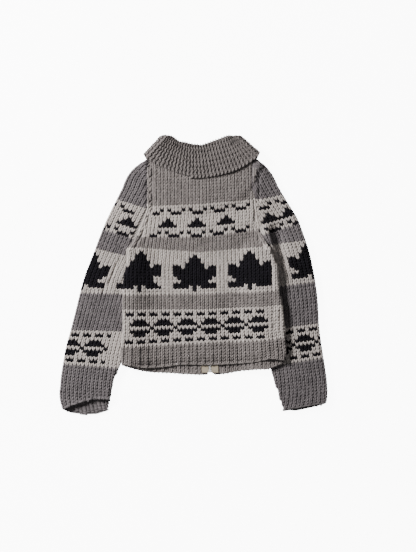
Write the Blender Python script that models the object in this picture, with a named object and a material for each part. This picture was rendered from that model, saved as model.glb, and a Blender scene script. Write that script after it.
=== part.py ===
"""Hand-knit zip cardigan with a shawl collar, laid flat with its back up.

Metres, +Z up, the underside on z = 0. The collar points along +Y. The origin lies under the
middle of the outline. Each knitted piece is one wall of bulky knit. Front and back form a
flattened tube, each sleeve is one panel folded at its outer edge, and the body's sides lie
over the sleeves' inner edges.
"""

import math

import bmesh
import bpy
import numpy as np

MM = 0.001

# Driving dimensions
WALL = 5.5 * MM
LAYER_GAP = 2.8 * MM
SEAM_GAP = 0.3 * MM
NECK_GAP = 0.5 * MM
REST_GAP = 0.6 * MM
EDGE_CLEARANCE = 2 * MM
SLEEVE_EDGE_CLEARANCE = 1.5 * MM
RIB_DEPTH = 1.4 * MM
RIB_HEIGHT = 39 * MM
CUFF_TOP = -262 * MM
ARMPIT_Y = 51 * MM

ZIP_BOTTOM_X = 39 * MM
ZIP_TOP_X = 22 * MM
ZIP_BOTTOM_Y = -231 * MM
ZIP_TOP_Y = 230 * MM
ZIP_OPENING = 5 * MM
TAPE_THICKNESS = 0.8 * MM
TAPE_OUTER = 19.5 * MM
TEETH_HALF_WIDTH = 3.2 * MM
TEETH_THICKNESS = 2.2 * MM
TEETH_BOTTOM_Y = -226 * MM
TEETH_TOP_Y = 220 * MM
TAPE_BOTTOM_Y = -233 * MM
TEETH_RAISE = 0.2 * MM
ZIP_BOX_LENGTH = 6.6 * MM

SLIDER_Y = 217 * MM
SLIDER_LENGTH = 13 * MM
SLIDER_WIDTH = 8.4 * MM
OUTER_PLATE = 1.0 * MM
INNER_PLATE = 0.7 * MM
CHANNEL = 3.0 * MM
WEDGE_WIDTH = 3.2 * MM
WEDGE_LENGTH = 2.4 * MM
WEDGE_INSET = 1.6 * MM
LUG_WIDTH = 1.6 * MM
LUG_LENGTH = 7.0 * MM
LUG_SPACE = 1.6 * MM
LUG_BAR = 1.0 * MM
HINGE_SHIFT = 0.8 * MM
TAB_LENGTH = 30 * MM
TAB_WIDTH = 7.0 * MM
TAB_THICKNESS = 1.0 * MM
TAB_RAIL = 1.4 * MM
TAB_END_BAR = 1.0 * MM
TAB_HOLE = 5.0 * MM
UNION_OVERLAP = 0.2 * MM

# How the cloth rises over what lies below it
NECK_RAMP_START = 52 * MM
NECK_RAMP_LENGTH = 28 * MM
SIDE_RAMP_LEFT_X = -100 * MM
SIDE_RAMP_RIGHT_X = 117 * MM
SIDE_RAMP_WIDTH = 45 * MM
SIDE_RAMP_TOP_Y = 90 * MM
SIDE_RAMP_HEIGHT = 35 * MM
ROLL_START = 6 * MM
ROLL_LENGTH = 24 * MM

# How far up a panel its rows still follow the hem, and how far down the shoulders
HEM_REACH = 70 * MM
SHOULDER_REACH = 80 * MM

# Number of points across the panels
BACK_COLUMNS = 40
FRONT_COLUMNS = 13
SLEEVE_UPPER_COLUMNS = 13
SLEEVE_LOWER_COLUMNS = 6
EDGE_STEPS = 3
EAR_STEPS = 6
FOLD_STEPS = 5

# Radius of a fold's middle surface, and the height of the middle of a flattened tube
FOLD_RADIUS = (WALL + LAYER_GAP) / 2
TUBE_MIDDLE = WALL + LAYER_GAP / 2
SLEEVE_STACK = 2 * WALL + LAYER_GAP + 0.4 * MM
COLLAR_STACK = WALL + REST_GAP

# Outline tables, millimetres in the garment's frame: columns are y, x
BODY_LEFT_EDGE = [(-209, -168), (-179, -172), (-132, -168), (-50, -168), (27, -159), (51, -156),
                  (79, -140), (114, -123), (154, -109), (248, -109), (265, -106)]
BODY_RIGHT_EDGE = [(-203, 214), (-184, 219), (-149, 217), (-109, 215), (-71, 210), (-38, 203),
                   (-15, 201), (25, 196), (51, 182), (93, 156), (161, 152), (197, 138),
                   (248, 137), (265, 135)]
SLEEVE_LEFT_OUTER = [(-330, -306), (-318, -309), (-292, -315), (-262, -314), (-222, -309),
                     (-177, -301), (-128, -288), (-69, -273), (-8, -257), (49, -235),
                     (84, -222), (121, -207), (159, -189), (197, -170), (239, -149), (253, -135),
                     (264, -119), (270, -112)]
SLEEVE_LEFT_INNER = [(-306, -198), (-294, -195), (-266, -190), (-229, -180), (-212, -174),
                     (-189, -166), (-139, -159), (-83, -153), (-24, -149), (30, -152)]
SLEEVE_RIGHT_OUTER = [(-318, 309), (-302, 313), (-269, 315), (-222, 310), (-179, 303),
                      (-128, 296), (-69, 293), (4, 283), (60, 270), (96, 258), (131, 244),
                      (161, 226), (199, 203), (237, 183), (253, 170), (264, 158),
                      (270, 152)]
SLEEVE_RIGHT_INNER = [(-318, 210), (-300, 204), (-273, 196), (-229, 181), (-191, 174),
                      (-139, 168), (-83, 166), (-20, 169), (30, 175)]

# How far a knitted row's outer end lies above its inner end: columns are inner y, rise
ROW_RISE_LEFT = [(-294, 2), (-266, 4), (-229, 7), (-189, 12), (-139, 11), (-83, 14), (-24, 16),
                 (30, 13), (51, 19), (96, 23), (174, 23), (246, 18),
                 (256, 14)]
ROW_RISE_RIGHT = [(-300, 2), (-266, 4), (-229, 7), (-191, 12), (-139, 11), (-83, 14), (-20, 20),
                  (30, 14), (51, 14), (96, 20), (174, 16), (246, 18), (256, 14)]

# Hem edges: columns are x, y
BACK_HEM = [(-170, -209), (-126, -219), (-82, -219), (-25, -213), (32, -213), (88, -211),
            (146, -206), (188, -198), (214, -203)]
FRONT_HEM = [(-168, -214), (-112, -228), (-53, -232), (4, -235), (74, -233), (102, -228),
             (146, -223), (177, -221), (214, -206)]

# Heights of the knitted rows that the body's grid follows
BODY_ROWS_BELOW_ARMPIT = [-209, -200, -169, -140, -100, -60, -20, 15]
ARMHOLE_ROWS = [51, 65, 80, 96, 113, 132, 152, 174, 198, 222, 246, 256]
SHOULDER_ROW = 265
SLEEVE_ROWS_BELOW_ARMPIT = [30, 0, -35, -75, -115, -155, -190, -222, -245, -266, -282, -294]

# Cuff ends: columns are the fraction across from the inner edge to the outer edge, the reach
# of the upper layer past the last row, and the reach of the lower layer
CUFF_LEFT_END = [(0.0, 4, 8), (0.12, 2, 29), (0.35, 2, 37), (0.6, 11, 38), (0.85, 20, 35),
                 (1.0, 29, 29)]
CUFF_RIGHT_END = [(0.0, 19, 20), (0.12, 24, 26), (0.22, 20, 23), (0.4, 20, 26), (0.7, 15, 20),
                  (1.0, 11, 12)]

# Collar halves, from the centre back round the ear to the centre front: columns are
# the side that lies up or down, foot x, foot y, fold x, fold y, edge x, edge y
COLLAR_LEFT_ROWS = [
    ("up", -6.65, 257, -6.65, 295, -6.65, 228),
    ("up", -24, 264, -20, 302, -30, 234),
    ("up", -43, 273, -33, 309, -51, 241),
    ("up", -69, 284, -47, 314, -86, 255),
    ("ear", -88, 288, -58.5, 312.5, -111, 269),
    ("down", -72, 272, -45, 300, -96, 240),
    ("down", -50, 254, -28, 287, -72, 215),
    ("down", -22, 240, -8, 276, -40, 198),
    ("down", 21, 231, 19, 268, -12, 190),
]
COLLAR_RIGHT_ROWS = [
    ("up", -6.35, 257, -6.35, 295, -6.35, 224),
    ("up", 10, 256.5, 8, 294, 14, 224),
    ("up", 28, 257.5, 22, 295, 34, 226),
    ("up", 59, 267, 48, 303.5, 70, 233),
    ("up", 90, 280, 75, 315, 110, 247),
    ("ear", 124, 294, 94.6, 317.5, 151, 273),
    ("down", 108, 276, 86, 303, 138, 243),
    ("down", 92, 256, 70, 289, 114, 216),
    ("down", 64, 240, 50, 276, 82, 198),
    ("down", 23, 231, 25, 268, 56, 190),
]

def lookup(table, value):
    """Read a table in millimetres at a value in metres, straight between its rows."""
    keys, values = zip(*sorted(table))
    return np.interp(np.asarray(value) / MM, keys, values) * MM


def smooth(value):
    """Ease from 0 to 1."""
    value = np.clip(value, 0.0, 1.0)
    return value * value * (3 - 2 * value)


def zip_x(y):
    """The zip's line, a little slanted as it lies."""
    along = (y - ZIP_BOTTOM_Y) / (ZIP_TOP_Y - ZIP_BOTTOM_Y)
    return ZIP_BOTTOM_X + (ZIP_TOP_X - ZIP_BOTTOM_X) * along


def collar_line(rows, side, columns):
    """The x, y points of one line of the collar's table, on the upper or lower side."""
    picked = [row for row in rows if row[0] in (side, "ear")]
    return [(row[columns[0]], row[columns[1]]) for row in picked]


BACK_NECK = sorted(collar_line(COLLAR_LEFT_ROWS, "up", (1, 2))
                   + collar_line(COLLAR_RIGHT_ROWS, "up", (1, 2)))
FRONT_NECK = sorted(collar_line(COLLAR_LEFT_ROWS, "down", (1, 2))
                    + collar_line(COLLAR_RIGHT_ROWS, "down", (1, 2)))
FRONT_FALL_EDGE = sorted(collar_line(COLLAR_LEFT_ROWS, "down", (5, 6))
                         + collar_line(COLLAR_RIGHT_ROWS, "down", (5, 6))
                         + [(-135, 310), (175, 310)])
LEFT_SHOULDER = (-106, 265)
RIGHT_SHOULDER = (135, 265)


def neck_lift(x, y):
    """How far the collar's lower fall raises what lies on it."""
    edge = lookup(FRONT_FALL_EDGE, x)
    return COLLAR_STACK * smooth((y - edge + NECK_RAMP_START) / NECK_RAMP_LENGTH)


def side_lift(x, y):
    """How far the sleeves' inner edges raise the body's sides below the armpits."""
    left = smooth((SIDE_RAMP_LEFT_X - x) / SIDE_RAMP_WIDTH)
    right = smooth((x - SIDE_RAMP_RIGHT_X) / SIDE_RAMP_WIDTH)
    below_armpit = smooth((SIDE_RAMP_TOP_Y - y) / SIDE_RAMP_HEIGHT)
    return SLEEVE_STACK * (left + right) * below_armpit


def clean_scene():
    for item in list(bpy.data.objects):
        bpy.data.objects.remove(item, do_unlink=True)


def make_material(name, colour, roughness, metallic=0.0):
    material = bpy.data.materials.new(name)
    material.use_nodes = True
    shader = material.node_tree.nodes["Principled BSDF"]
    shader.inputs["Base Color"].default_value = (*colour, 1.0)
    shader.inputs["Roughness"].default_value = roughness
    shader.inputs["Metallic"].default_value = metallic
    return material


def add_object(name, mesh_builder, material):
    """Turn a finished bmesh into a named object."""
    mesh = bpy.data.meshes.new(name)
    mesh_builder.to_mesh(mesh)
    mesh_builder.free()
    mesh.materials.append(material)
    item = bpy.data.objects.new(name, mesh)
    bpy.context.scene.collection.objects.link(item)
    return item


def wall(name, middle, outward, thickness, material, relief=None):
    """Close a wall round a grid of middle points, raising the outer points by the relief."""
    rows, columns = middle.shape[:2]
    raised = thickness / 2 if relief is None else thickness / 2 + relief[..., None]
    outer = (middle + outward * raised).reshape(-1, 3)
    inner = (middle - outward * thickness / 2).reshape(-1, 3)
    builder = bmesh.new()
    bmesh.ops.create_grid(builder, x_segments=columns - 1, y_segments=rows - 1, size=1)
    place = builder.verts.layers.int.new("place")
    for index, vert in enumerate(builder.verts):
        vert[place] = index
        vert.co = inner[index]
    lifted = bmesh.ops.extrude_face_region(builder, geom=builder.faces[:], use_keep_orig=True)
    for part in lifted["geom"]:
        if isinstance(part, bmesh.types.BMVert):
            part.co = outer[part[place]]
    bmesh.ops.recalc_face_normals(builder, faces=builder.faces[:])
    item = add_object(name, builder, material)
    item.data.shade_smooth()
    item.data.set_sharp_from_angle(angle=math.radians(50))
    return item


def edge_turn():
    """Angles of a rolled edge, from the seam at mid height up to the flat layer."""
    start = SEAM_GAP / 2 / FOLD_RADIUS
    return np.linspace(start, math.pi / 2, EDGE_STEPS + 1)[:-1]


def rolled_edge(edge_x, inward, roll):
    """Columns of one side edge: offsets from the edge, heights and outward directions.

    With a roll of 1 the layer bends down to mid height, and with 0 it stays flat.
    """
    angles = edge_turn()
    centre = WALL / 2 + FOLD_RADIUS
    rolled_x = edge_x + inward * (centre - FOLD_RADIUS * np.cos(angles))
    flat_x = edge_x + inward * (SEAM_GAP / 2 + FOLD_RADIUS * angles)
    height = FOLD_RADIUS * (roll * np.sin(angles) + (1 - roll))
    side = -inward * np.cos(angles) * roll
    up = np.sin(angles) * roll + (1 - roll)
    length = np.hypot(side, up)
    return flat_x + (rolled_x - flat_x) * roll, height, side / length, up / length


def body_row_roll(y):
    """Side edges are rolled below the armpits and flat along the armholes."""
    return float(smooth((ARMPIT_Y + ROLL_START - y) / ROLL_LENGTH))


def top_edge(neck, x):
    """Height of a panel's top edge: shoulder slopes on both sides of the neckline."""
    lowered = [(px, py - NECK_GAP / MM) for px, py in neck]
    points = sorted([LEFT_SHOULDER] + lowered + [RIGHT_SHOULDER])
    return lookup(points, x)


def bend_rows(x, y, hem, neck):
    """Shift a straight row so that the last rows follow the hem and the neckline."""
    first = BODY_ROWS_BELOW_ARMPIT[0] * MM
    last = SHOULDER_ROW * MM
    hem_share = np.clip(1 - (y - first) / HEM_REACH, 0, 1)
    top_share = np.clip(1 - (last - y) / SHOULDER_REACH, 0, 1)
    return y + hem_share * (lookup(hem, x) - first) + top_share * (top_edge(neck, x) - last)


def body_rows():
    return np.array(BODY_ROWS_BELOW_ARMPIT + ARMHOLE_ROWS + [SHOULDER_ROW]) * MM


def front_row_at_zip(y):
    """Where a front's row meets the zip, once bent."""
    return float(bend_rows(zip_x(y), y, FRONT_HEM, FRONT_NECK))


def front_edge(y, side):
    """The front edge beside the zip: side is -1 on the left and 1 on the right."""
    return zip_x(front_row_at_zip(y)) + side * ZIP_OPENING


def meet_neckline(x, y, neck):
    """Slide the columns nearest the collar's corners sideways until the top row has them."""
    moved = x.copy()
    share = np.clip(1 - (SHOULDER_ROW * MM - y) / SHOULDER_REACH, 0, 1)
    for corner_x, _ in neck:
        corner = corner_x * MM
        if x[0] < corner < x[-1]:
            nearest = int(np.argmin(np.abs(x - corner)))
            moved[nearest] += share * (corner - x[nearest])
    return moved


def body_grid(columns, hem, neck, upper, left_end=None, right_end=None):
    """Middle points and outward directions of a body panel.

    left_end or right_end gives the zip's edge where the panel doesn't reach that side seam.
    """
    layer = 1 if upper else -1
    clear = WALL / 2 + FOLD_RADIUS + EDGE_CLEARANCE
    middle = []
    outward = []
    for y in body_rows():
        roll = body_row_roll(y)
        left_x = float(lookup(BODY_LEFT_EDGE, y)) + SEAM_GAP / 2
        right_x = float(lookup(BODY_RIGHT_EDGE, y)) - SEAM_GAP / 2
        left = rolled_edge(left_x, 1, roll)
        right = [part[::-1] for part in rolled_edge(right_x, -1, roll)]
        start = left_x + clear if left_end is None else left_end(y)
        end = right_x - clear if right_end is None else right_end(y)
        span = np.linspace(start, end, columns)
        flat = (span, np.full(columns, FOLD_RADIUS), np.zeros(columns), np.ones(columns))
        parts = ([left] if left_end is None else []) + [flat]
        parts += [right] if right_end is None else []
        x, height, side, up = (np.concatenate(values) for values in zip(*parts))
        x = meet_neckline(x, y, neck)
        bent = bend_rows(x, y, hem, neck)
        lift = neck_lift(x, bent) + side_lift(x, bent)
        z = TUBE_MIDDLE + lift + layer * height
        middle.append(np.column_stack([x, bent, z]))
        outward.append(np.column_stack([side, np.zeros_like(x), layer * up]))
    return np.array(middle), np.array(outward)


def build_back(material):
    middle, outward = body_grid(BACK_COLUMNS, BACK_HEM, BACK_NECK, upper=True)
    relief = np.zeros(middle.shape[:2])
    edge = (middle.shape[1] - BACK_COLUMNS) // 2
    for row, y in enumerate(body_rows()):
        if y < BODY_ROWS_BELOW_ARMPIT[0] * MM + RIB_HEIGHT:
            relief[row, edge:edge + BACK_COLUMNS:2] = RIB_DEPTH
    wall("back", middle, outward, WALL, material, relief)


def build_fronts(material):
    for name, ends in (("front_left", {"right_end": lambda y: front_edge(y, -1)}),
                       ("front_right", {"left_end": lambda y: front_edge(y, 1)})):
        middle, outward = body_grid(FRONT_COLUMNS, FRONT_HEM, FRONT_NECK, upper=False, **ends)
        wall(name, middle, outward, WALL, material)


def sleeve_rows(side):
    """Inner and outer ends of a sleeve's rows, from the shoulder down to the cuff."""
    left = side == "left"
    body_edge = BODY_LEFT_EDGE if left else BODY_RIGHT_EDGE
    inner_edge = SLEEVE_LEFT_INNER if left else SLEEVE_RIGHT_INNER
    outer_edge = SLEEVE_LEFT_OUTER if left else SLEEVE_RIGHT_OUTER
    rise = ROW_RISE_LEFT if left else ROW_RISE_RIGHT
    outward = -1 if left else 1
    rows = []
    for y in np.array(ARMHOLE_ROWS[::-1] + SLEEVE_ROWS_BELOW_ARMPIT) * MM:
        cap = y >= ARMPIT_Y
        inner_x = lookup(body_edge if cap else inner_edge, y)
        inner_x += outward * SEAM_GAP / 2 if cap else 0.0
        outer_y = y + lookup(rise, y)
        rows.append(((float(inner_x), y), (float(lookup(outer_edge, outer_y)), outer_y), cap))
    return rows


def sleeve_section(inner, outer, roll):
    """One row of a sleeve: upper layer, outer fold and lower layer, as plan points,
    heights, outward directions and the fraction across."""
    inner = np.array(inner)
    outer = np.array(outer)
    across = (outer - inner) / np.linalg.norm(outer - inner)
    width = float(np.linalg.norm(outer - inner))
    offset, height, side, up = rolled_edge(0.0, 1, roll)
    fold_centre = width - WALL / 2 - FOLD_RADIUS
    start = WALL / 2 + FOLD_RADIUS + SLEEVE_EDGE_CLEARANCE
    upper = np.linspace(start, fold_centre, SLEEVE_UPPER_COLUMNS)[:-1]
    lower = np.linspace(start, fold_centre, SLEEVE_LOWER_COLUMNS)[:-1]
    turn = np.linspace(math.pi / 2, -math.pi / 2, FOLD_STEPS + 1)
    reach = np.concatenate([offset, upper, fold_centre + FOLD_RADIUS * np.cos(turn),
                            lower[::-1], offset[::-1]])
    heights = np.concatenate([height, np.full(len(upper), FOLD_RADIUS),
                              FOLD_RADIUS * np.sin(turn),
                              np.full(len(lower), -FOLD_RADIUS), -height[::-1]])
    sides = np.concatenate([side, np.zeros(len(upper)), np.cos(turn),
                            np.zeros(len(lower)), side[::-1]])
    ups = np.concatenate([up, np.ones(len(upper)), np.sin(turn),
                          -np.ones(len(lower)), -up[::-1]])
    plan = inner + np.outer(reach, across)
    directions = np.column_stack([np.outer(sides, across), ups])
    return plan, heights, directions, np.clip(reach / width, 0, 1)


def cuff_end(side, plan, heights, fractions):
    """Move the last row down to the cuff's edge, further on the lower layer."""
    table = CUFF_LEFT_END if side == "left" else CUFF_RIGHT_END
    keys = [row[0] for row in table]
    upper_reach = np.interp(fractions, keys, [row[1] for row in table]) * MM
    lower_reach = np.interp(fractions, keys, [row[2] for row in table]) * MM
    share = np.clip(0.5 + heights / (2 * FOLD_RADIUS), 0, 1)
    moved = plan.copy()
    moved[:, 1] -= lower_reach + (upper_reach - lower_reach) * share
    return moved


def build_sleeve(side, material):
    middle = []
    outward = []
    relief = []
    rows = sleeve_rows(side)
    for index, (inner, outer, cap) in enumerate(rows):
        last = index == len(rows) - 1
        roll = body_row_roll(inner[1]) if cap else 1.0
        plan, heights, directions, fractions = sleeve_section(inner, outer, roll)
        raised = np.zeros(len(heights))
        if inner[1] < CUFF_TOP:
            raised[EDGE_STEPS + 1:EDGE_STEPS + SLEEVE_UPPER_COLUMNS:2] = RIB_DEPTH
        sections = [plan] + ([cuff_end(side, plan, heights, fractions)] if last else [])
        for points in sections:
            z = TUBE_MIDDLE + neck_lift(points[:, 0], points[:, 1]) + heights
            middle.append(np.column_stack([points, z]))
            outward.append(directions)
            relief.append(raised)
    wall("sleeve_" + side, np.array(middle), np.array(outward), WALL, material,
         np.array(relief))


def collar_stations(rows):
    """Foot, fold and edge points with the direction that faces out, round the ear."""
    facing = {"up": (0.0, 0.0, 1.0), "down": (0.0, 0.0, -1.0)}
    stations = []
    for side, foot_x, foot_y, fold_x, fold_y, edge_x, edge_y in rows:
        foot = np.array([foot_x, foot_y]) * MM
        fold = np.array([fold_x, fold_y]) * MM
        edge = np.array([edge_x, edge_y]) * MM
        if side != "ear":
            stations.append((foot, fold, edge, np.array(facing[side])))
            continue
        along = (fold - edge) / np.linalg.norm(fold - edge)
        away = np.array([-along[1], along[0]])
        away *= math.copysign(1, away[0] * fold_x)
        for step in range(EAR_STEPS + 1):
            angle = math.pi / 2 - math.pi * step / EAR_STEPS
            direction = np.array([*(away * math.cos(angle)), math.sin(angle)])
            stations.append((foot, fold, edge, direction))
    return stations


def build_collar(name, rows, material):
    """A folded band: the stand rises from the neckline, turns over and falls outside it."""
    stand_radius = FOLD_RADIUS
    fall_radius = FOLD_RADIUS + WALL + REST_GAP
    fold_radius = (fall_radius - stand_radius) / 2
    spine_height = TUBE_MIDDLE + COLLAR_STACK
    middle = []
    outward = []
    for foot, fold, edge, direction in collar_stations(rows):
        rise = (fold - foot) / np.linalg.norm(fold - foot)
        fall = (edge - fold) / np.linalg.norm(edge - fold)
        line = []
        facing = []
        for share in (0.0, 0.33, 0.67):
            line.append((foot + (fold - foot) * share, stand_radius))
            facing.append(-direction)
        for step in range(FOLD_STEPS + 1):
            angle = math.pi * step / FOLD_STEPS
            radius = stand_radius + fold_radius * (1 - math.cos(angle))
            crest = (rise - fall) / np.linalg.norm(rise - fall)
            line.append((fold + crest * fold_radius * math.sin(angle), radius))
            lean = np.array([*(crest * math.sin(angle)), 0.0])
            facing.append(lean - direction * math.cos(angle))
        for share in (0.25, 0.5, 0.75, 1.0):
            line.append((fold + (edge - fold) * share, fall_radius))
            facing.append(direction)
        points = [np.array([*plan, spine_height]) + direction * radius for plan, radius in line]
        middle.append(points)
        outward.append([vector / np.linalg.norm(vector) for vector in facing])
    wall(name, np.array(middle), np.array(outward), WALL, material)


def zip_heights(y):
    """Height of the fronts' upper faces along the zip."""
    return WALL + neck_lift(zip_x(y), y)


def build_zip_strips(tape_material, teeth_material):
    """Two tapes on the fronts' inner faces and two rows of teeth between them."""
    rows = [front_row_at_zip(row) for row in body_rows()]
    rows = [row for row in rows if TEETH_BOTTOM_Y < row < TEETH_TOP_Y]
    y = np.array([TAPE_BOTTOM_Y, TEETH_BOTTOM_Y] + rows + [TEETH_TOP_Y])
    base = zip_heights(y)
    tape_z = base + REST_GAP / 2 + TAPE_THICKNESS / 2
    teeth_z = base + TEETH_RAISE
    up = np.array([0.0, 0.0, 1.0])
    for name, sign in (("left", -1), ("right", 1)):
        inner = zip_x(y) + sign * (TEETH_HALF_WIDTH + SEAM_GAP)
        bend = zip_x(y) + sign * ZIP_OPENING
        outer = zip_x(y) + sign * TAPE_OUTER
        columns = [np.column_stack([x, y, tape_z]) for x in (inner, bend, outer)]
        middle = np.stack(columns, axis=1)
        wall("zip_tape_" + name, middle, np.broadcast_to(up, middle.shape), TAPE_THICKNESS,
             tape_material)
        near = zip_x(y[1:]) + sign * SEAM_GAP / 2
        far = zip_x(y[1:]) + sign * TEETH_HALF_WIDTH
        columns = [np.column_stack([x, y[1:], teeth_z[1:]]) for x in (near, far)]
        middle = np.stack(columns, axis=1)
        wall("zip_teeth_" + name, middle, np.broadcast_to(up, middle.shape), TEETH_THICKNESS,
             teeth_material)


def add_block(builder, size, centre):
    """Add a box to a bmesh."""
    made = bmesh.ops.create_cube(builder, size=1.0)
    bmesh.ops.scale(builder, vec=size, verts=made["verts"])
    bmesh.ops.translate(builder, vec=centre, verts=made["verts"])


def block_object(name, size, centre, material):
    builder = bmesh.new()
    add_block(builder, size, (0, 0, 0))
    item = add_object(name, builder, material)
    item.location = centre
    return item


def join_blocks(target, blocks):
    """Unite a block object with more blocks by exact unions."""
    for number, (size, centre) in enumerate(blocks):
        helper = block_object(target.name + "_helper_" + str(number), size, centre,
                              target.data.materials[0])
        helper.hide_render = True
        helper.display_type = "WIRE"
        union = target.modifiers.new("union_" + str(number), "BOOLEAN")
        union.operation = "UNION"
        union.solver = "EXACT"
        union.object = helper


def build_slider(material):
    """Two plates joined by a wedge, with a lug on the outer plate for the pull tab."""
    x = zip_x(SLIDER_Y)
    teeth_z = float(zip_heights(SLIDER_Y)) + TEETH_RAISE
    outer_z = teeth_z - CHANNEL / 2 - OUTER_PLATE / 2
    inner_z = teeth_z + CHANNEL / 2 + INNER_PLATE / 2
    plate = (SLIDER_WIDTH, SLIDER_LENGTH)
    slider = block_object("slider", (*plate, OUTER_PLATE), (x, SLIDER_Y, outer_z), material)
    wedge_y = SLIDER_Y + SLIDER_LENGTH / 2 - WEDGE_INSET
    outer_face = outer_z - OUTER_PLATE / 2
    foot_height = LUG_SPACE + LUG_BAR
    foot = (LUG_WIDTH, LUG_BAR, foot_height + UNION_OVERLAP)
    foot_z = outer_face - foot_height / 2 + UNION_OVERLAP / 2
    foot_shift = LUG_LENGTH / 2 - LUG_BAR / 2
    bar_z = outer_face - LUG_SPACE - LUG_BAR / 2
    join_blocks(slider, [
        ((*plate, INNER_PLATE), (x, SLIDER_Y, inner_z)),
        ((WEDGE_WIDTH, WEDGE_LENGTH, CHANNEL + 2 * UNION_OVERLAP), (x, wedge_y, teeth_z)),
        (foot, (x, SLIDER_Y - foot_shift, foot_z)),
        (foot, (x, SLIDER_Y + foot_shift, foot_z)),
        ((LUG_WIDTH, LUG_LENGTH, LUG_BAR), (x, SLIDER_Y, bar_z)),
    ])
    return x, SLIDER_Y - HINGE_SHIFT, outer_face - LUG_SPACE / 2


def build_pull_tab(hinge, material):
    """A flat tab whose end bar lies inside the slider's lug, its origin on the hinge."""
    builder = bmesh.new()
    side_x = (TAB_WIDTH - TAB_RAIL) / 2
    frame_length = TAB_END_BAR / 2 + TAB_HOLE
    plate_length = TAB_LENGTH - frame_length
    add_block(builder, (TAB_WIDTH, plate_length, TAB_THICKNESS),
              (0, -frame_length - plate_length / 2, 0))
    tab = add_object("pull_tab", builder, material)
    tab.location = hinge
    x, y, z = hinge
    rail_length = frame_length + TAB_END_BAR / 2 + UNION_OVERLAP
    rail_y = y + TAB_END_BAR / 2 - rail_length / 2
    join_blocks(tab, [
        ((TAB_RAIL, rail_length, TAB_THICKNESS), (x - side_x, rail_y, z)),
        ((TAB_RAIL, rail_length, TAB_THICKNESS), (x + side_x, rail_y, z)),
        ((TAB_WIDTH, TAB_END_BAR, TAB_THICKNESS), (x, y, z)),
    ])


def build_zip_box(material):
    """The retainer that closes the zip's bottom end, below the last teeth."""
    y = TEETH_BOTTOM_Y - SEAM_GAP - ZIP_BOX_LENGTH / 2
    z = float(zip_heights(y)) + TEETH_RAISE
    block_object("zip_box", (2 * TEETH_HALF_WIDTH, ZIP_BOX_LENGTH, TEETH_THICKNESS),
                 (zip_x(y), y, z), material)


def build_cardigan():
    clean_scene()
    grey = make_material("heather_grey_wool", (0.19, 0.17, 0.16), 0.95)
    sleeve_grey = make_material("sleeve_grey_wool", (0.14, 0.125, 0.13), 0.95)
    collar_grey = make_material("collar_grey_wool", (0.17, 0.15, 0.15), 0.95)
    tape = make_material("zip_tape", (0.45, 0.38, 0.30), 0.85)
    metal = make_material("zip_metal", (0.62, 0.60, 0.57), 0.35, 1.0)
    build_back(grey)
    build_fronts(grey)
    build_sleeve("left", sleeve_grey)
    build_sleeve("right", sleeve_grey)
    build_collar("collar_left", COLLAR_LEFT_ROWS, collar_grey)
    build_collar("collar_right", COLLAR_RIGHT_ROWS, collar_grey)
    build_zip_strips(tape, metal)
    hinge = build_slider(metal)
    build_pull_tab(hinge, metal)
    build_zip_box(metal)


build_cardigan()
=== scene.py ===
"""Hand-knit zip cardigan laid flat, back up: knitted panels with every loop of yarn, a garter
collar, metal zip, studio light and camera.

A place on a panel is given in knitting terms, the stitch column and the row, and each panel has
one function that turns that into a point and the direction that faces out.
"""

import math

import bmesh
import bpy
import numpy as np
from mathutils import Matrix, Vector


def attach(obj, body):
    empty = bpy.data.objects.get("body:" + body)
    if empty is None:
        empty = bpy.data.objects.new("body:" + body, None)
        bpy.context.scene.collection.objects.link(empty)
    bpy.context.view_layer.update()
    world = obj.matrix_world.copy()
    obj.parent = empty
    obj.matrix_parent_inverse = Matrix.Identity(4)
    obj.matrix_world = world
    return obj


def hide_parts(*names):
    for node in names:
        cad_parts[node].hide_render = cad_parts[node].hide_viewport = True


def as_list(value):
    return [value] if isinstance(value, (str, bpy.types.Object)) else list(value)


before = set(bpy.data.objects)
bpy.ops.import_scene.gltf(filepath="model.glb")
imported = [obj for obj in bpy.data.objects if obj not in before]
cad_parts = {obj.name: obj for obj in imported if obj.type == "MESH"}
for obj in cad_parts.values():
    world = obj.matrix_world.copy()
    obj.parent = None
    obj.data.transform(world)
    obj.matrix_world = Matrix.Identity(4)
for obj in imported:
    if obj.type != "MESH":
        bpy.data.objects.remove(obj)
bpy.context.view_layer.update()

MM = 0.001

# The garment's own sizes
WALL = 5.5 * MM
LAYER_GAP = 2.8 * MM
SEAM_GAP = 0.3 * MM
NECK_GAP = 0.5 * MM
REST_GAP = 0.6 * MM
ARMPIT_Y = 51 * MM
FOLD_RADIUS = (WALL + LAYER_GAP) / 2
TUBE_MIDDLE = WALL + LAYER_GAP / 2
TUBE_RADIUS = FOLD_RADIUS + WALL / 2
EDGE_EXTRA = TUBE_RADIUS * (math.pi / 2 - 1)
SLEEVE_STACK = 2 * WALL + LAYER_GAP + 0.4 * MM
COLLAR_STACK = WALL + REST_GAP
# A side's roll starts this far above the armpit, and is full this far below its start
ROLL_START = 6 * MM
ROLL_LENGTH = 24 * MM
# A wall ends this far short of the end of its rolled edge
ROLL_END_GAP = 0.4 * MM
# The rise over the collar's lower fall starts this far below the fall's edge, over this length
NECK_RAMP_START = 52 * MM
NECK_RAMP_LENGTH = 28 * MM
# The sides' rise over the sleeves' inner edges: where it starts at the left and the right, how
# wide it is, the height by which it has faded out, and over what height it fades
SIDE_RAMP_LEFT_X = -80 * MM
SIDE_RAMP_RIGHT_X = 98 * MM
SIDE_RAMP_WIDTH = 70 * MM
SIDE_RAMP_TOP_Y = ARMPIT_Y + 39 * MM
SIDE_RAMP_HEIGHT = 35 * MM
# The hem's shape fades out this far up a panel's wall, and the shoulders' this far down
HEM_REACH = 70 * MM
SHOULDER_REACH = 80 * MM

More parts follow.
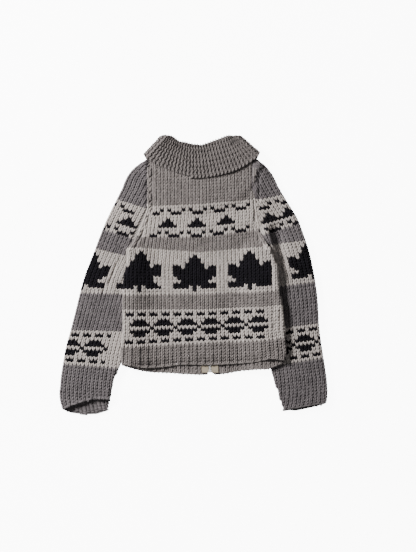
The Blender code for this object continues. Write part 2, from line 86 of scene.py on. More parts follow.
ZIP_BOTTOM_X = 39 * MM
ZIP_TOP_X = 22 * MM
ZIP_BOTTOM_Y = -231 * MM
ZIP_TOP_Y = 230 * MM
ZIP_OPENING = 5 * MM
TEETH_BOTTOM_Y = -226 * MM
TEETH_TOP_Y = 220 * MM
TEETH_RAISE = 0.2 * MM
# A tooth across the zip, along it and through it, its spacing, its reach past the middle, how
# much of that size its tip has, and its softened edges
TOOTH_SIZE = (4.0 * MM, 1.6 * MM, 2.2 * MM)
TOOTH_PITCH = 3.2 * MM
TOOTH_HOOK = 0.8 * MM
TOOTH_TIP = (1, 0.72, 0.8)
TOOTH_BEVEL = 0.25 * MM
# The corded edge of a tape: its two edges from the zip's middle, its hump, how far it lies below
# the fronts' upper faces, and its wall
CORD_EDGES = (0.1 * MM, 3.6 * MM)
CORD_HUMP = 0.5 * MM
CORD_BELOW = 0.6 * MM
CORD_WALL = 0.9 * MM
TAPE_BOTTOM_Y = -233 * MM
# The fronts' loops stay this far from the zip's middle, outside and inside
ZIP_CLEAR = 7.5 * MM
TAPE_REACH = 24 * MM

# The ground wall that carries the loops lies this far inside the outer face
GROUND_BELOW = 1.7 * MM
GROUND_WALL = 3.0 * MM
LOWEST_LOOP = 0.25 * MM
# Loops on an inner face stand out by this share of those on an outer face
INNER_RISE = 0.75
# The body's ground is tucked this far under the sleeves' along the armholes, and this much lower
SEAM_TUCK = 4 * MM
SEAM_SINK = 1.6 * MM
# Loops stay this far inside a panel's edge, and go on this far under the collar's fall
LOOP_MARGIN = 1.5 * MM
UNDER_FALL = 14 * MM

# Outlines in millimetres: columns are y, x
BODY_LEFT_EDGE = [(-209, -168), (-179, -172), (-132, -168), (-50, -168), (27, -159), (51, -156),
                  (79, -140), (114, -123), (154, -109), (248, -109), (265, -106)]
BODY_RIGHT_EDGE = [(-203, 214), (-184, 219), (-149, 217), (-109, 215), (-71, 210), (-38, 203),
                   (-15, 201), (25, 196), (51, 182), (93, 156), (161, 152), (197, 138),
                   (248, 137), (265, 135)]
SLEEVE_LEFT_OUTER = [(-330, -306), (-318, -309), (-292, -315), (-262, -314), (-222, -309),
                     (-177, -301), (-128, -288), (-69, -273), (-8, -257), (49, -235),
                     (84, -222), (121, -207), (159, -189), (197, -170), (239, -149), (253, -135),
                     (264, -119), (270, -112)]
SLEEVE_LEFT_INNER = [(-306, -198), (-294, -195), (-266, -190), (-229, -178), (-212, -169),
                     (-189, -163), (-139, -159), (-83, -153), (-24, -149), (30, -152),
                     (51, -156)]
SLEEVE_RIGHT_OUTER = [(-318, 309), (-302, 313), (-269, 315), (-222, 310), (-179, 303),
                      (-128, 296), (-69, 293), (4, 283), (60, 270), (96, 258), (131, 244),
                      (161, 226), (199, 203), (237, 183), (253, 170), (264, 158), (270, 152)]
SLEEVE_RIGHT_INNER = [(-318, 210), (-300, 204), (-273, 196), (-229, 181), (-191, 174),
                      (-139, 168), (-83, 166), (-20, 169), (30, 175), (51, 182)]

# Hem edges: columns are x, y
BACK_HEM = [(-170, -209), (-126, -219), (-82, -219), (-25, -213), (32, -213), (88, -211),
            (146, -206), (188, -198), (214, -203)]
FRONT_HEM = [(-168, -214), (-112, -228), (-53, -232), (4, -235), (74, -233), (102, -228),
             (146, -223), (177, -221), (214, -206)]
FIRST_ROW_Y = -209 * MM
SHOULDER_Y = 265 * MM

# Cuff ends: columns are the fraction across from the inner edge to the outer edge, and the
# heights at which the upper and the lower layer end
CUFF_LEFT_END = [(0.0, -298, -302), (0.12, -296, -323), (0.35, -296, -331), (0.6, -304, -332),
                 (0.85, -313, -328), (1.0, -321, -321)]
CUFF_RIGHT_END = [(0.0, -318, -319), (0.12, -322, -324), (0.22, -318, -321), (0.4, -317, -323),
                  (0.7, -311, -316), (1.0, -306, -307)]

# Collar halves, from the centre back round the ear to the centre front: columns are
# the side that lies up or down, foot x, foot y, fold x, fold y, edge x, edge y
COLLAR_LEFT_ROWS = [
    ("up", -6.65, 257, -6.65, 301, -6.65, 228),
    ("up", -24, 264, -20, 304.5, -30, 234),
    ("up", -43, 273, -34, 307, -51, 241),
    ("up", -69, 284, -50, 318.5, -86, 255),
    ("ear", -88, 288, -62, 322, -111, 269),
    ("down", -72, 272, -45, 300, -96, 240),
    ("down", -50, 254, -28, 287, -72, 215),
    ("down", -22, 240, -8, 276, -40, 198),
    ("down", 21, 231, 19, 268, -12, 190),
]
COLLAR_RIGHT_ROWS = [
    ("up", -6.35, 257, -6.35, 301, -6.35, 224),
    ("up", 10, 256.5, 8, 299, 14, 224),
    ("up", 28, 257.5, 22, 299, 34, 226),
    ("up", 59, 267, 48, 308, 70, 233),
    ("up", 90, 280, 79, 319.5, 110, 247),
    ("ear", 124, 294, 97, 321, 151, 273),
    ("down", 108, 276, 86, 303, 138, 243),
    ("down", 92, 256, 70, 289, 114, 216),
    ("down", 64, 240, 50, 276, 82, 198),
    ("down", 23, 231, 25, 268, 56, 190),
]

# Knitting of the body, counted from the hem: columns are the row, then its height in
# millimetres at the four places across given by BODY_ROW_X. Row 0 follows the hem.
BODY_ROW_X = (-126, 15, 166, 203)
BODY_ROW_HEIGHTS = [
    (7, -172, -164, -158, -151),
    (18, -83, -83, -76, -72),
    (23, -50, -48, -43, -38),
    (38, 62, 51, 65, 70),
    (43, 86, 86, 105, 108),
    (53, 159, 164, 178, 180),
    (66, 254, 258, 270, 271),
]
# The columns draw together upwards: columns are height, x of column 14, width of a stitch
BODY_COLUMNS = [(-235, 4.2, 9.6), (-180, 4.2, 9.5), (-132, 4.2, 9.24), (9, 3.0, 9.26),
                (60, 5.0, 8.95), (117, 8.2, 8.53), (150, 11.0, 8.45), (208, 10.0, 8.3),
                (270, 10.0, 8.2)]
MIDDLE_COLUMN = 14
# A first guess at the width of a stitch, in millimetres
STITCH_GUESS = 9.2
# The columns and rows that the body's loops are sought in, and the row that parts the back's
# loops into two pieces
BODY_LOOP_COLUMNS = (-8, 40)
BODY_LOOP_ROWS = 68
BACK_SPLIT_ROW = 31
# Each front has the loops on its own side of this line: this many rows at the hem, a strip this
# wide along its side, and this many rows on its inner face
FRONTS_MEET_X = 0.03
FRONT_HEM_LOOP_ROWS = 3
FRONT_SIDE_LOOPS = 9 * MM
INNER_LOOP_ROWS = 4

# Knitting of the sleeves: columns are the row, then its height at the inner and outer edge
SLEEVE_LEFT_ROWS = [(-16, -340, -330), (0, -222, -212), (11, -135, -132), (23, -48, -45),
                    (38, 42, 60), (43, 82, 105), (53, 154, 176), (68, 262, 284)]
SLEEVE_RIGHT_ROWS = [(-17, -340, -322), (0, -217, -198), (11, -132, -116), (23, -34, -19),
                     (38, 67, 79), (43, 89, 119), (53, 173, 187), (66, 266, 282)]
# Width of a stitch across a sleeve: columns are height, width
SLEEVE_STITCH = [(-330, 9.3), (-130, 9.4), (0, 9.6), (100, 10.3), (200, 10.9), (270, 11.2)]
# The same at the cuff, in millimetres
CUFF_STITCH = 9.3

# Charts, top row first, X dark yarn on cream
LEAF = (".....X.....",
        "....XXX....",
        "....XXX....",
        "...XXXXX...",
        "XX.XXXXX.XX",
        "XXXXXXXXXXX",
        "XXXXXXXXXXX",
        "XXXXXXXXXXX",
        ".XXXXXXXXX.",
        "..XXXXXXX..",
        "XXXXXXXXXXX",
        "XXXX.X.XXXX",
        ".....X.....")
# The leaf nearest the left side has a longer lower lobe
LEFT_LEAF = (".......X.....",
             "......XXX....",
             "......XXX....",
             ".....XXXXX...",
             "..XX.XXXXX.XX",
             "..XXXXXXXXXXX",
             ".XXXXXXXXXXXX",
             ".XXXXXXXXXXXX",
             "..XXXXXXXXX..",
             "...XXXXXXXX..",
             ".XXXXXXXXXXX.",
             "XXXXXX.X.XXXX",
             ".X.....X.....")
LOZENGE = (".XXX..",
           "XXXXX.",
           ".....X",
           "XXXXX.",
           ".XXX..")
PYRAMID = ("..X..",
           ".XXX.",
           "XXXXX")
SMILE = ("X...X",
         ".XXX.")
# Rows of the bands, counted as the rows of BODY_ROW_HEIGHTS are: the sleeves' low band starts at
# their own row 0
BAND_ROWS = {"low": (7, 18), "middle": (23, 38), "high": (43, 53)}
SLEEVE_BAND_ROWS = {**BAND_ROWS, "low": (0, 11)}
# Stitches from one lozenge or smile to the next
REPEAT = 6
GREY, CREAM, DARK = 0, 1, 2

HEM_RIB_ROWS = 7
RIB_COLUMNS = 2
# How far cast-on loops are raised, in millimetres
EDGE_LIFT = 0.4


def curve(table, value):
    """Read a table in millimetres at a value in metres, along a smooth line through its rows."""
    keys, values = (np.array(part, float) for part in zip(*sorted(table)))
    slopes = np.gradient(values, keys)
    at = np.clip(np.asarray(value, float) / MM, keys[0], keys[-1])
    index = np.clip(np.searchsorted(keys, at) - 1, 0, len(keys) - 2)
    step = keys[index + 1] - keys[index]
    t = (at - keys[index]) / step
    first = (2 * t**3 - 3 * t**2 + 1) * values[index] + (t**3 - 2 * t**2 + t) * step * slopes[index]
    second = (3 * t**2 - 2 * t**3) * values[index + 1] + (t**3 - t**2) * step * slopes[index + 1]
    return (first + second) * MM


def straight(table, value):
    """Read a table in millimetres at a value in metres, straight between its rows."""
    keys, values = zip(*sorted(table))
    return np.interp(np.asarray(value) / MM, keys, values) * MM


def smooth(value):
    """Ease from 0 to 1."""
    value = np.clip(value, 0.0, 1.0)
    return value * value * (3 - 2 * value)


def zip_x(y):
    """The zip's line, a little slanted as it lies."""
    along = (y - ZIP_BOTTOM_Y) / (ZIP_TOP_Y - ZIP_BOTTOM_Y)
    return ZIP_BOTTOM_X + (ZIP_TOP_X - ZIP_BOTTOM_X) * along


def collar_line(rows, side, columns):
    """The x, y points of one line of the collar's table, on the upper or lower side."""
    picked = [row for row in rows if row[0] in (side, "ear")]
    return [(row[columns[0]], row[columns[1]]) for row in picked]


def both_halves(side, columns):
    left = collar_line(COLLAR_LEFT_ROWS, side, columns)
    return sorted(left + collar_line(COLLAR_RIGHT_ROWS, side, columns))


BACK_NECK = both_halves("up", (1, 2))
FRONT_NECK = both_halves("down", (1, 2))
BACK_FALL_EDGE = both_halves("up", (5, 6))
FRONT_FALL_EDGE = sorted(both_halves("down", (5, 6)) + [(-135, 310), (175, 310)])


def neck_lift(x, y):
    """How far the collar's lower fall raises what lies on it."""
    edge = straight(FRONT_FALL_EDGE, x)
    return COLLAR_STACK * smooth((y - edge + NECK_RAMP_START) / NECK_RAMP_LENGTH)


def side_lift(x, y):
    """How far the sleeves' inner edges raise the body's sides below the armpits."""
    left = smooth((SIDE_RAMP_LEFT_X - x) / SIDE_RAMP_WIDTH)
    right = smooth((x - SIDE_RAMP_RIGHT_X) / SIDE_RAMP_WIDTH)
    return SLEEVE_STACK * (left + right) * smooth((SIDE_RAMP_TOP_Y - y) / SIDE_RAMP_HEIGHT)


# Soft troughs and ridges of the upper layer: columns are the two ends' x, y, the width and
# the height in millimetres, below nothing for a trough
BODY_CREASES = [
    (-60, -150, -40, 40, 26, -0.9), (70, -120, 95, 60, 30, -0.8), (-10, 60, 30, 200, 30, 0.7),
    (110, 60, 150, 120, 9, -1.6), (122, 78, 163, 62, 7, -1.5), (128, 92, 168, 84, 7, 1.1),
    (-108, 80, -150, 40, 9, -1.4), (-100, 98, -140, 66, 8, 0.9), (-104, 60, -150, 22, 8, -1.0),
    (193, -150, 188, -60, 4, -1.3), (40, 140, 110, 190, 22, -0.6), (-90, 140, -50, 210, 20, -0.6),
    (150, -205, 190, -180, 10, -1.2), (-150, -200, -110, -190, 12, -0.8),
    (150, 106, 165, 80, 2.0, -2.6), (158, 104, 175, 74, 2.0, -2.6), (168, 96, 184, 64, 2.2, -2.8),
    (176, 64, 187, -42, 2.0, -2.0), (201, -84, 201, -155, 1.9, -2.8),
    (187, -86, 187, -94, 2.3, -2.6), (187, -119, 187, -127, 2.3, -2.6),
    (187, -144, 187, -150, 2.3, -2.4), (-148, 64, -130, 100, 1.9, -2.4),
    (-138, 58, -122, 92, 1.9, -2.2), (-130, 76, -116, 104, 1.7, -2.2),
    (-120, 62, -110, 86, 2, -1.6),
    (166, 92, 192, 10, 13, 4.2), (194, 10, 208, -150, 12, 3.4), (-130, -217, 160, -205, 9, -4.2),
    (-60, 225, 60, 205, 26, 0.9), (-20, -60, 80, -30, 28, 0.8), (138, 188, 178, 262, 14, 1.9),
    (168, 92, 184, 56, 9, 5.0), (137, 250, 137, 200, 1.8, -2.8),
    (146, 252, 147, 192, 8, 3.0),
]
SLEEVE_CREASES = [
    (-260, -20, -180, -60, 20, -1.5), (-285, -120, -200, -160, 22, -1.3),
    (-290, -200, -190, -230, 18, 0.9), (-215, 60, -160, 30, 14, -1.6),
    (-200, 110, -150, 80, 12, -1.0), (-180, 200, -125, 160, 16, -0.9),
    (-300, -262, -215, -285, 10, -1.3), (-292, -290, -220, -300, 9, -1.2),
    (230, 60, 275, 20, 16, -1.5), (225, -40, 290, -80, 20, -1.3), (215, -140, 300, -170, 20, 0.9),
    (205, -210, 305, -232, 16, -1.2), (165, 110, 215, 95, 12, -1.4), (150, 180, 200, 150, 16, -0.8),
    (225, -262, 300, -268, 12, -1.0),
    (-217, -54, -208, -24, 1.9, -2.8), (-202, -28, -190, 2, 1.9, -2.8),
    (-191, -4, -181, 28, 1.9, -2.6), (-177, 20, -166, 50, 1.9, -2.2),
    (-208, -8, -198, 18, 1.7, -1.8), (-186, 44, -176, 70, 1.7, -1.8),
    (-180, -50, -172, -20, 1.8, -2.0), (-166, -30, -158, 6, 1.8, -2.0),
    (168, 110, 176, 84, 2.2, -2.6), (178, 100, 190, 66, 2.4, -2.4),
    (196, 106, 204, 30, 13, -9.0), (171, 104, 187, 56, 9, 9.0),
    (200, 40, 213, -80, 11, -5.0), (216, -80, 221, -170, 9, -3.0),
    (-300, -322, -216, -300, 9, 3.6), (140, 190, 156, 95, 26, 3.0),
    (138, 188, 178, 262, 14, 1.9), (153, 238, 155, 170, 1.8, -2.8),
    (146, 252, 147, 192, 8, 3.0), (160, 250, 164, 190, 18, 2.6),
    (222, 60, 240, -200, 34, 2.6), (-262, 30, -290, -120, 26, 1.6), (-190, 215, -215, 120, 18, 1.4),
]


def creases(table, x, y):
    """Height that the creases add at a place, each fading off beside and past its line."""
    height = np.zeros_like(x)
    for x0, y0, x1, y1, width, rise in table:
        start = np.array([x0, y0]) * MM
        line = np.array([x1, y1]) * MM - start
        length = np.hypot(*line)
        along = ((x - start[0]) * line[0] + (y - start[1]) * line[1]) / length
        beside = ((x - start[0]) * line[1] - (y - start[1]) * line[0]) / length
        past = np.maximum(np.maximum(-along, along - length), 0.0)
        height += rise * MM * np.exp(-(beside**2 + past**2) / (width * MM) ** 2)
    return height


def softness(x, y):
    """Slow unevenness of hand knitting, a few tenths of a millimetre."""
    waves = np.sin(x * 71 + 1.3) * np.cos(y * 63 + 0.4) + 0.6 * np.sin(x * 143 + y * 97)
    return 0.35 * MM * waves


def roll_profile(distance, roll):
    """Across a flattened tube's edge: plan distance, height above the middle, direction out."""
    angle = np.clip((distance + EDGE_EXTRA) / TUBE_RADIUS, 0, math.pi / 2)
    rolled = np.where(angle < math.pi / 2, TUBE_RADIUS * (1 - np.cos(angle)), distance)
    plan = distance + (rolled - distance) * roll
    height = TUBE_RADIUS * (np.sin(angle) * roll + 1 - roll)
    side = np.cos(angle) * roll
    up = np.sin(angle) * roll + 1 - roll
    length = np.hypot(side, up)
    return plan, height, side / length, up / length


def tube_place(x, y, left, right, layer, rolls, lift, relief, proud):
    """Points and outward directions on a flattened tube's layers."""
    nearer_left = x - left < right - x
    distance = np.where(nearer_left, x - left, right - x)
    roll = np.where(nearer_left, rolls[0], rolls[1])
    plan, height, side, up = roll_profile(distance, roll)
    sign = np.where(nearer_left, 1.0, -1.0)
    across = np.where(nearer_left, left + plan, right - plan)
    upper = (layer > 0) * np.clip(height / TUBE_RADIUS, 0, 1)
    z = TUBE_MIDDLE + lift(across, y) + layer * height + relief(across, y) * upper
    out = np.stack([-sign * side, np.zeros_like(x), layer * up], axis=-1)
    return np.stack([across, y, z], axis=-1) + out * np.asarray(proud)[..., None], out


# The body


def armhole_roll(y):
    """Side edges are rolled below the armpits and flat along the armholes."""
    return smooth((ARMPIT_Y + ROLL_START - y) / ROLL_LENGTH)


def body_edges(y):
    return curve(BODY_LEFT_EDGE, y), curve(BODY_RIGHT_EDGE, y)


def body_lift(x, y):
    return neck_lift(x, y) + side_lift(x, y)


def body_relief(x, y):
    return creases(BODY_CREASES, x, y) + softness(x, y)


def body_surface(x, y, layer, proud):
    left, right = body_edges(y)
    roll = armhole_roll(y)
    return tube_place(x, y, left, right, layer, (roll, roll), body_lift, body_relief, proud)


def body_row_lines(x, hem):
    """Heights of the key rows at each x."""
    lines = [curve(hem, x)]
    for row in BODY_ROW_HEIGHTS:
        lines.append(np.interp(x / MM, BODY_ROW_X, row[1:]) * MM)
    return [0] + [row[0] for row in BODY_ROW_HEIGHTS], lines


def height_of_row(keys, lines, row):
    """Height of a row between the key rows."""
    y = lines[0] + (lines[1] - lines[0]) * (row - keys[0]) / (keys[1] - keys[0])
    for index in range(1, len(keys) - 1):
        t = (row - keys[index]) / (keys[index + 1] - keys[index])
        y = np.where(row >= keys[index], lines[index] + (lines[index + 1] - lines[index]) * t, y)
    return y


def row_of_height(keys, lines, y):
    """The row at a height, the other way round."""
    row = keys[0] + (y - lines[0]) / (lines[1] - lines[0]) * (keys[1] - keys[0])
    for index in range(1, len(keys) - 1):
        t = (y - lines[index]) / (lines[index + 1] - lines[index])
        row = np.where(t >= 0, keys[index] + t * (keys[index + 1] - keys[index]), row)
    return row


def body_column_line(y):
    middle = straight([(row[0], row[1]) for row in BODY_COLUMNS], y)
    width = straight([(row[0], row[2]) for row in BODY_COLUMNS], y)
    return middle, width


def body_plan(column, row, hem):
    """Plan place of a stitch on the body."""
    x = (column - MIDDLE_COLUMN) * STITCH_GUESS * MM
    for _ in range(3):
        y = height_of_row(*body_row_lines(x, hem), row)
        middle, width = body_column_line(y)
        x = middle + (column - MIDDLE_COLUMN) * width
    return x, y


def body_stitch(x, y, hem):
    """Column and row of a place on the body."""
    middle, width = body_column_line(y)
    row = row_of_height(*body_row_lines(x, hem), y)
    return MIDDLE_COLUMN + (x - middle) / width, row


def body_loops_place(layer, hem):
    """A function from column, row and height to points on one of the body's layers."""
    def place(column, row, proud):
        x, y = body_plan(column, row, hem)
        return body_surface(x, y, layer, proud - GROUND_BELOW)[0]
    return place


def body_inner_place(layer, hem):
    """The same for loops that stand out of the wall's inner face."""
    def place(column, row, proud):
        x, y = body_plan(column, row, hem)
        return body_surface(x, y, layer, -INNER_RISE * proud - GROUND_BELOW - GROUND_WALL)[0]
    return place


# The sleeves

SLEEVES = {
    "left": {"side": -1, "outer": SLEEVE_LEFT_OUTER, "inner": SLEEVE_LEFT_INNER,
             "cap": BODY_LEFT_EDGE, "rows": SLEEVE_LEFT_ROWS, "cuff": CUFF_LEFT_END},
    "right": {"side": 1, "outer": SLEEVE_RIGHT_OUTER, "inner": SLEEVE_RIGHT_INNER,
              "cap": BODY_RIGHT_EDGE, "rows": SLEEVE_RIGHT_ROWS, "cuff": CUFF_RIGHT_END},
}
CAP_TOP_Y = 268 * MM
# The height at which the sleeves' loops end, the one at which the cuffs' ribs end, and the share
# of the hem's relief that those ribs have
CAP_LOOPS_TOP_Y = 262 * MM
CUFF_RIB_TOP_Y = -268 * MM
CUFF_RIB_SHARE = 0.65
# A sleeve's wall runs to this line, and is bent to the cuff's end from one share of its length
# on, over another. Within this width of the fold the two layers' ends draw together.
CUFF_LINE_Y = -296 * MM
CUFF_BEND_START = 0.88
CUFF_BEND_LENGTH = 0.12
FOLD_BLEND = 10 * MM
# The sleeve's loops stay this far inside its seam and above the cuff's end
SLEEVE_LOOP_MARGIN = 3 * MM
CUFF_LOOP_MARGIN = 4 * MM
# The height at which the cuff's mouth is measured across, and how far its loops stay inside its
# seam
LIP_Y = -300 * MM
LIP_MARGIN = 6 * MM
# The deepest that a sleeve's upper layer is pressed down
HOLLOW_LIMIT = 7 * MM


def sleeve_edges(sleeve, y):
    """Inner and outer edge: along the armhole the inner edge is the body's."""
    inner = np.where(y > ARMPIT_Y, curve(sleeve["cap"], y) + sleeve["side"] * SEAM_GAP,
                     curve(sleeve["inner"], y))
    return inner, curve(sleeve["outer"], y)


def sleeve_relief(x, y):
    return np.maximum(creases(SLEEVE_CREASES, x, y), -HOLLOW_LIMIT) + softness(x, y)


def sleeve_surface(sleeve, along, y, proud):
    """Points on a sleeve, at a length along its surface from the outer fold: the upper layer
    is above nothing and the lower layer below it."""
    inner, outer = sleeve_edges(sleeve, y)
    layer = np.where(along >= 0, 1.0, -1.0)
    distance = np.abs(along) - EDGE_EXTRA
    x = outer - sleeve["side"] * distance
    rolls = (np.where(y > ARMPIT_Y - 1 * MM, armhole_roll(y), 1.0), np.ones_like(y))
    if sleeve["side"] < 0:
        return tube_place(x, y, outer, inner, layer, rolls[::-1], neck_lift, sleeve_relief, proud)
    return tube_place(x, y, inner, outer, layer, rolls, neck_lift, sleeve_relief, proud)


def sleeve_rows_at(sleeve, fraction):
    """Heights of the key rows at a fraction across, from the inner edge to the outer."""
    keys = [row[0] for row in sleeve["rows"]]
    return keys, [(row[1] + (row[2] - row[1]) * fraction) * MM for row in sleeve["rows"]]


def sleeve_fraction(sleeve, along, y):
    inner, outer = sleeve_edges(sleeve, y)
    width = np.maximum(np.abs(outer - inner), 12 * MM)
    return 1 - np.clip((np.abs(along) - EDGE_EXTRA) / width, 0, 1)


def sleeve_loops_place(sleeve):
    """A function from column, row and height to points on a sleeve."""
    def place(column, row, proud):
        y = height_of_row(*sleeve_rows_at(sleeve, np.full_like(row, 0.5)), row)
        for _ in range(3):
            along = column * straight(SLEEVE_STITCH, y)
            fraction = sleeve_fraction(sleeve, along, y)
            y = height_of_row(*sleeve_rows_at(sleeve, fraction), row)
        return sleeve_surface(sleeve, along, y, proud - GROUND_BELOW)[0]
    return place


def sleeve_inner_place(sleeve):
    """The same for loops that stand out of the wall's inner face."""
    outer_place = sleeve_loops_place(sleeve)

    def place(column, row, proud):
        return outer_place(column, row, -GROUND_WALL - INNER_RISE * proud)
    return place


def cuff_end(sleeve, fraction, upper):
    keys, high, low = (np.array(part, float) for part in zip(*sleeve["cuff"]))
    return np.interp(fraction, keys, high if upper else low) * MM


# Which colour each stitch is


def charted(chart, column, row):
    """True where the chart has dark yarn, with the row counted down from its top."""
    return 0 <= row < len(chart) and 0 <= column < len(chart[0]) and chart[row][column] == "X"


def leaf_at(column, row_from_top, centres):
    return any(charted(LEAF, column - centre + 5, row_from_top) for centre in centres)


def body_colour(column, row):
    """Colour of a stitch on the back or the fronts."""
    low, middle, high = (BAND_ROWS[name] for name in ("low", "middle", "high"))
    if low[0] <= row < low[1]:
        from_top = low[1] - 1 - row
        if from_top in (1, 9):
            return DARK if -3 <= column <= 31 and column % 3 != 2 else CREAM
        inside = -2 <= column <= 32
        place = (column + 2) % REPEAT
        return DARK if inside and charted(LOZENGE, place, from_top - 3) else CREAM
    if middle[0] <= row < middle[1]:
        from_top = middle[1] - 1 - row
        dark = charted(LEFT_LEAF, column + 7, from_top - 1)
        dark = dark or leaf_at(column, from_top - 1, (14, 28))
        # A small dark patch beside the last leaf
        dark = dark or from_top in (9, 10) and column in (32, 33)
        return DARK if dark else CREAM
    if high[0] <= row < high[1]:
        from_top = high[1] - 1 - row
        if not 2 <= column <= 28:
            return CREAM
        if from_top in (1, 2, 8, 9):
            start = 1 if from_top < 3 else 8
            place = (column - MIDDLE_COLUMN + 2) % REPEAT
            return DARK if charted(SMILE, place, from_top - start) else CREAM
        dark = any(charted(PYRAMID, column - centre + 2, from_top - 4) for centre in (6, 14, 22))
        return DARK if dark else CREAM
    return GREY


def sleeve_colour(side):
    """Colour of a stitch on a sleeve, its columns counted from the outer fold."""
    offsets = {-1: {"leaf": (0, -15), "pyramid": 5, "lozenge": 1},
               1: {"leaf": (0, -15), "pyramid": 6, "lozenge": 4}}[side]

    def colour(column, row):
        low, middle, high = (SLEEVE_BAND_ROWS[name] for name in ("low", "middle", "high"))
        if low[0] <= row < low[1]:
            from_top = low[1] - 1 - row
            if column > 10 and side < 0:
                return CREAM
            if from_top in (1, 9):
                return DARK if (column - offsets["lozenge"]) % 3 != 2 else CREAM
            place = (column - offsets["lozenge"] + 2) % REPEAT
            return DARK if charted(LOZENGE, place, from_top - 3) else CREAM
        if middle[0] <= row < middle[1]:
            from_top = middle[1] - 1 - row
            if side < 0 and column in (9, 10) and from_top in (11, 12):
                return DARK
            return DARK if leaf_at(column, from_top - 1, offsets["leaf"]) else CREAM
        if high[0] <= row < high[1]:
            from_top = high[1] - 1 - row
            if column > 7 and side < 0:
                return CREAM
            centre = offsets["pyramid"]
            if from_top in (1, 2, 8, 9):
                start = 1 if from_top < 3 else 8
                drift = 1 if start == 1 and side < 0 else 0
                if drift and column > 5:
                    return CREAM
                place = (column - centre + drift + 2) % REPEAT
                return DARK if charted(SMILE, place, from_top - start) else CREAM
            centres = (centre, centre - 8) if side < 0 else (centre, centre - 5)
            dark = any(charted(PYRAMID, column - c + 2, from_top - 4) for c in centres)
            return DARK if dark else CREAM
        return GREY

    return colour


# Materials


class Socket:
    """A value in a material, with arithmetic that adds Math nodes."""

    def __init__(self, tree, output):
        self.tree = tree
        self.output = output

    def maths(self, operation, other, swapped=False):
        node = self.tree.nodes.new("ShaderNodeMath")
        node.operation = operation
        pair = (other, self) if swapped else (self, other)
        for slot, value in zip(node.inputs, pair):
            if isinstance(value, Socket):
                self.tree.links.new(value.output, slot)
            elif value is not None:
                slot.default_value = value
        return Socket(self.tree, node.outputs[0])

    def __add__(self, other):
        return self.maths("ADD", other)

    __radd__ = __add__

    def __mul__(self, other):
        return self.maths("MULTIPLY", other)

    __rmul__ = __mul__

    def __sub__(self, other):
        return self.maths("SUBTRACT", other)

    def __rsub__(self, other):
        return self.maths("SUBTRACT", other, swapped=True)

    def absolute(self):
        return self.maths("ABSOLUTE", None)

    def fraction(self):
        return self.maths("FRACT", None)


class Finish:
    """A material being put together."""

    def __init__(self, name):
        self.material = bpy.data.materials.new(name)
        self.material.use_nodes = True
        self.tree = self.material.node_tree
        self.shader = self.tree.nodes["Principled BSDF"]

    def node(self, kind, settings, sockets, output=0):
        """Add a node: its settings first, then its sockets' values or links."""
        made = self.tree.nodes.new(kind)
        for name, value in settings.items():
            setattr(made, name, value)
        for name, value in sockets.items():
            if isinstance(value, Socket):
                self.tree.links.new(value.output, made.inputs[name])
            else:
                made.inputs[name].default_value = value
        return Socket(self.tree, made.outputs[output])

    def place(self):
        return self.node("ShaderNodeTexCoord", {}, {}, "Object")

    def attribute(self, name, output="Fac"):
        return self.node("ShaderNodeAttribute", {"attribute_name": name}, {}, output)

    def noise(self, place, scale, detail=2.0, roughness=0.5):
        return self.node("ShaderNodeTexNoise", {},
                         {"Vector": place, "Scale": scale, "Detail": detail,
                          "Roughness": roughness}, "Fac")

    def stretched(self, place, scale):
        return self.node("ShaderNodeMapping", {}, {"Vector": place, "Scale": scale})

    def mix(self, factor, first, second):
        """Mix two colours."""
        return self.node("ShaderNodeMix", {"data_type": "RGBA"},
                         {"Factor": factor, 6: first, 7: second}, 2)

    def split(self, vector, axis):
        return self.node("ShaderNodeSeparateXYZ", {}, {0: vector}, axis)

    def bump(self, height, distance, strength=1.0):
        return self.node("ShaderNodeBump", {},
                         {"Height": height, "Distance": distance, "Strength": strength})

    def set(self, **sockets):
        for name, value in sockets.items():
            socket = self.shader.inputs[name.replace("_", " ")]
            if isinstance(value, Socket):
                self.tree.links.new(value.output, socket)
            else:
                socket.default_value = value
        return self.material


def scaled(colour, factor):
    return (*(channel * factor for channel in colour), 1.0)


def yarn_finish(name, colour, spread, fleck, sheen=0.16):
    """Homespun yarn: each loop a little lighter or darker, mixed fibres and a fuzzy surface."""
    finish = Finish(name)
    place = finish.place()
    loop = finish.attribute("shade")
    fibres = finish.noise(finish.stretched(place, (1.0, 0.55, 1.0)), 720, 3.0, 0.7)
    clouds = finish.noise(place, 26, 2.0)
    marl = finish.noise(place, 240, 2.0)
    amount = loop * 0.7 + fibres * 0.8 + marl * 0.9 + clouds * 0.35 - 0.875
    tone = finish.mix(amount, scaled(colour, 1 - spread), scaled(colour, 1 + spread))
    light = finish.node("ShaderNodeMapRange", {},
                        {"Value": finish.noise(place, 1150, 1.0), "From Min": 0.62,
                         "From Max": 0.72, "To Min": 0.0, "To Max": fleck})
    tone = finish.mix(light, tone, (0.62, 0.58, 0.55, 1.0))
    height = fibres + 0.5 * finish.noise(place, 2100, 1.0)
    return finish.set(Base_Color=tone, Roughness=0.82 + 0.16 * fibres,
                      Normal=finish.bump(height, 0.0006, 0.7),
                      Sheen_Weight=sheen, Sheen_Roughness=0.55,
                      Sheen_Tint=(0.8, 0.78, 0.76, 1.0), Specular_IOR_Level=0.12)


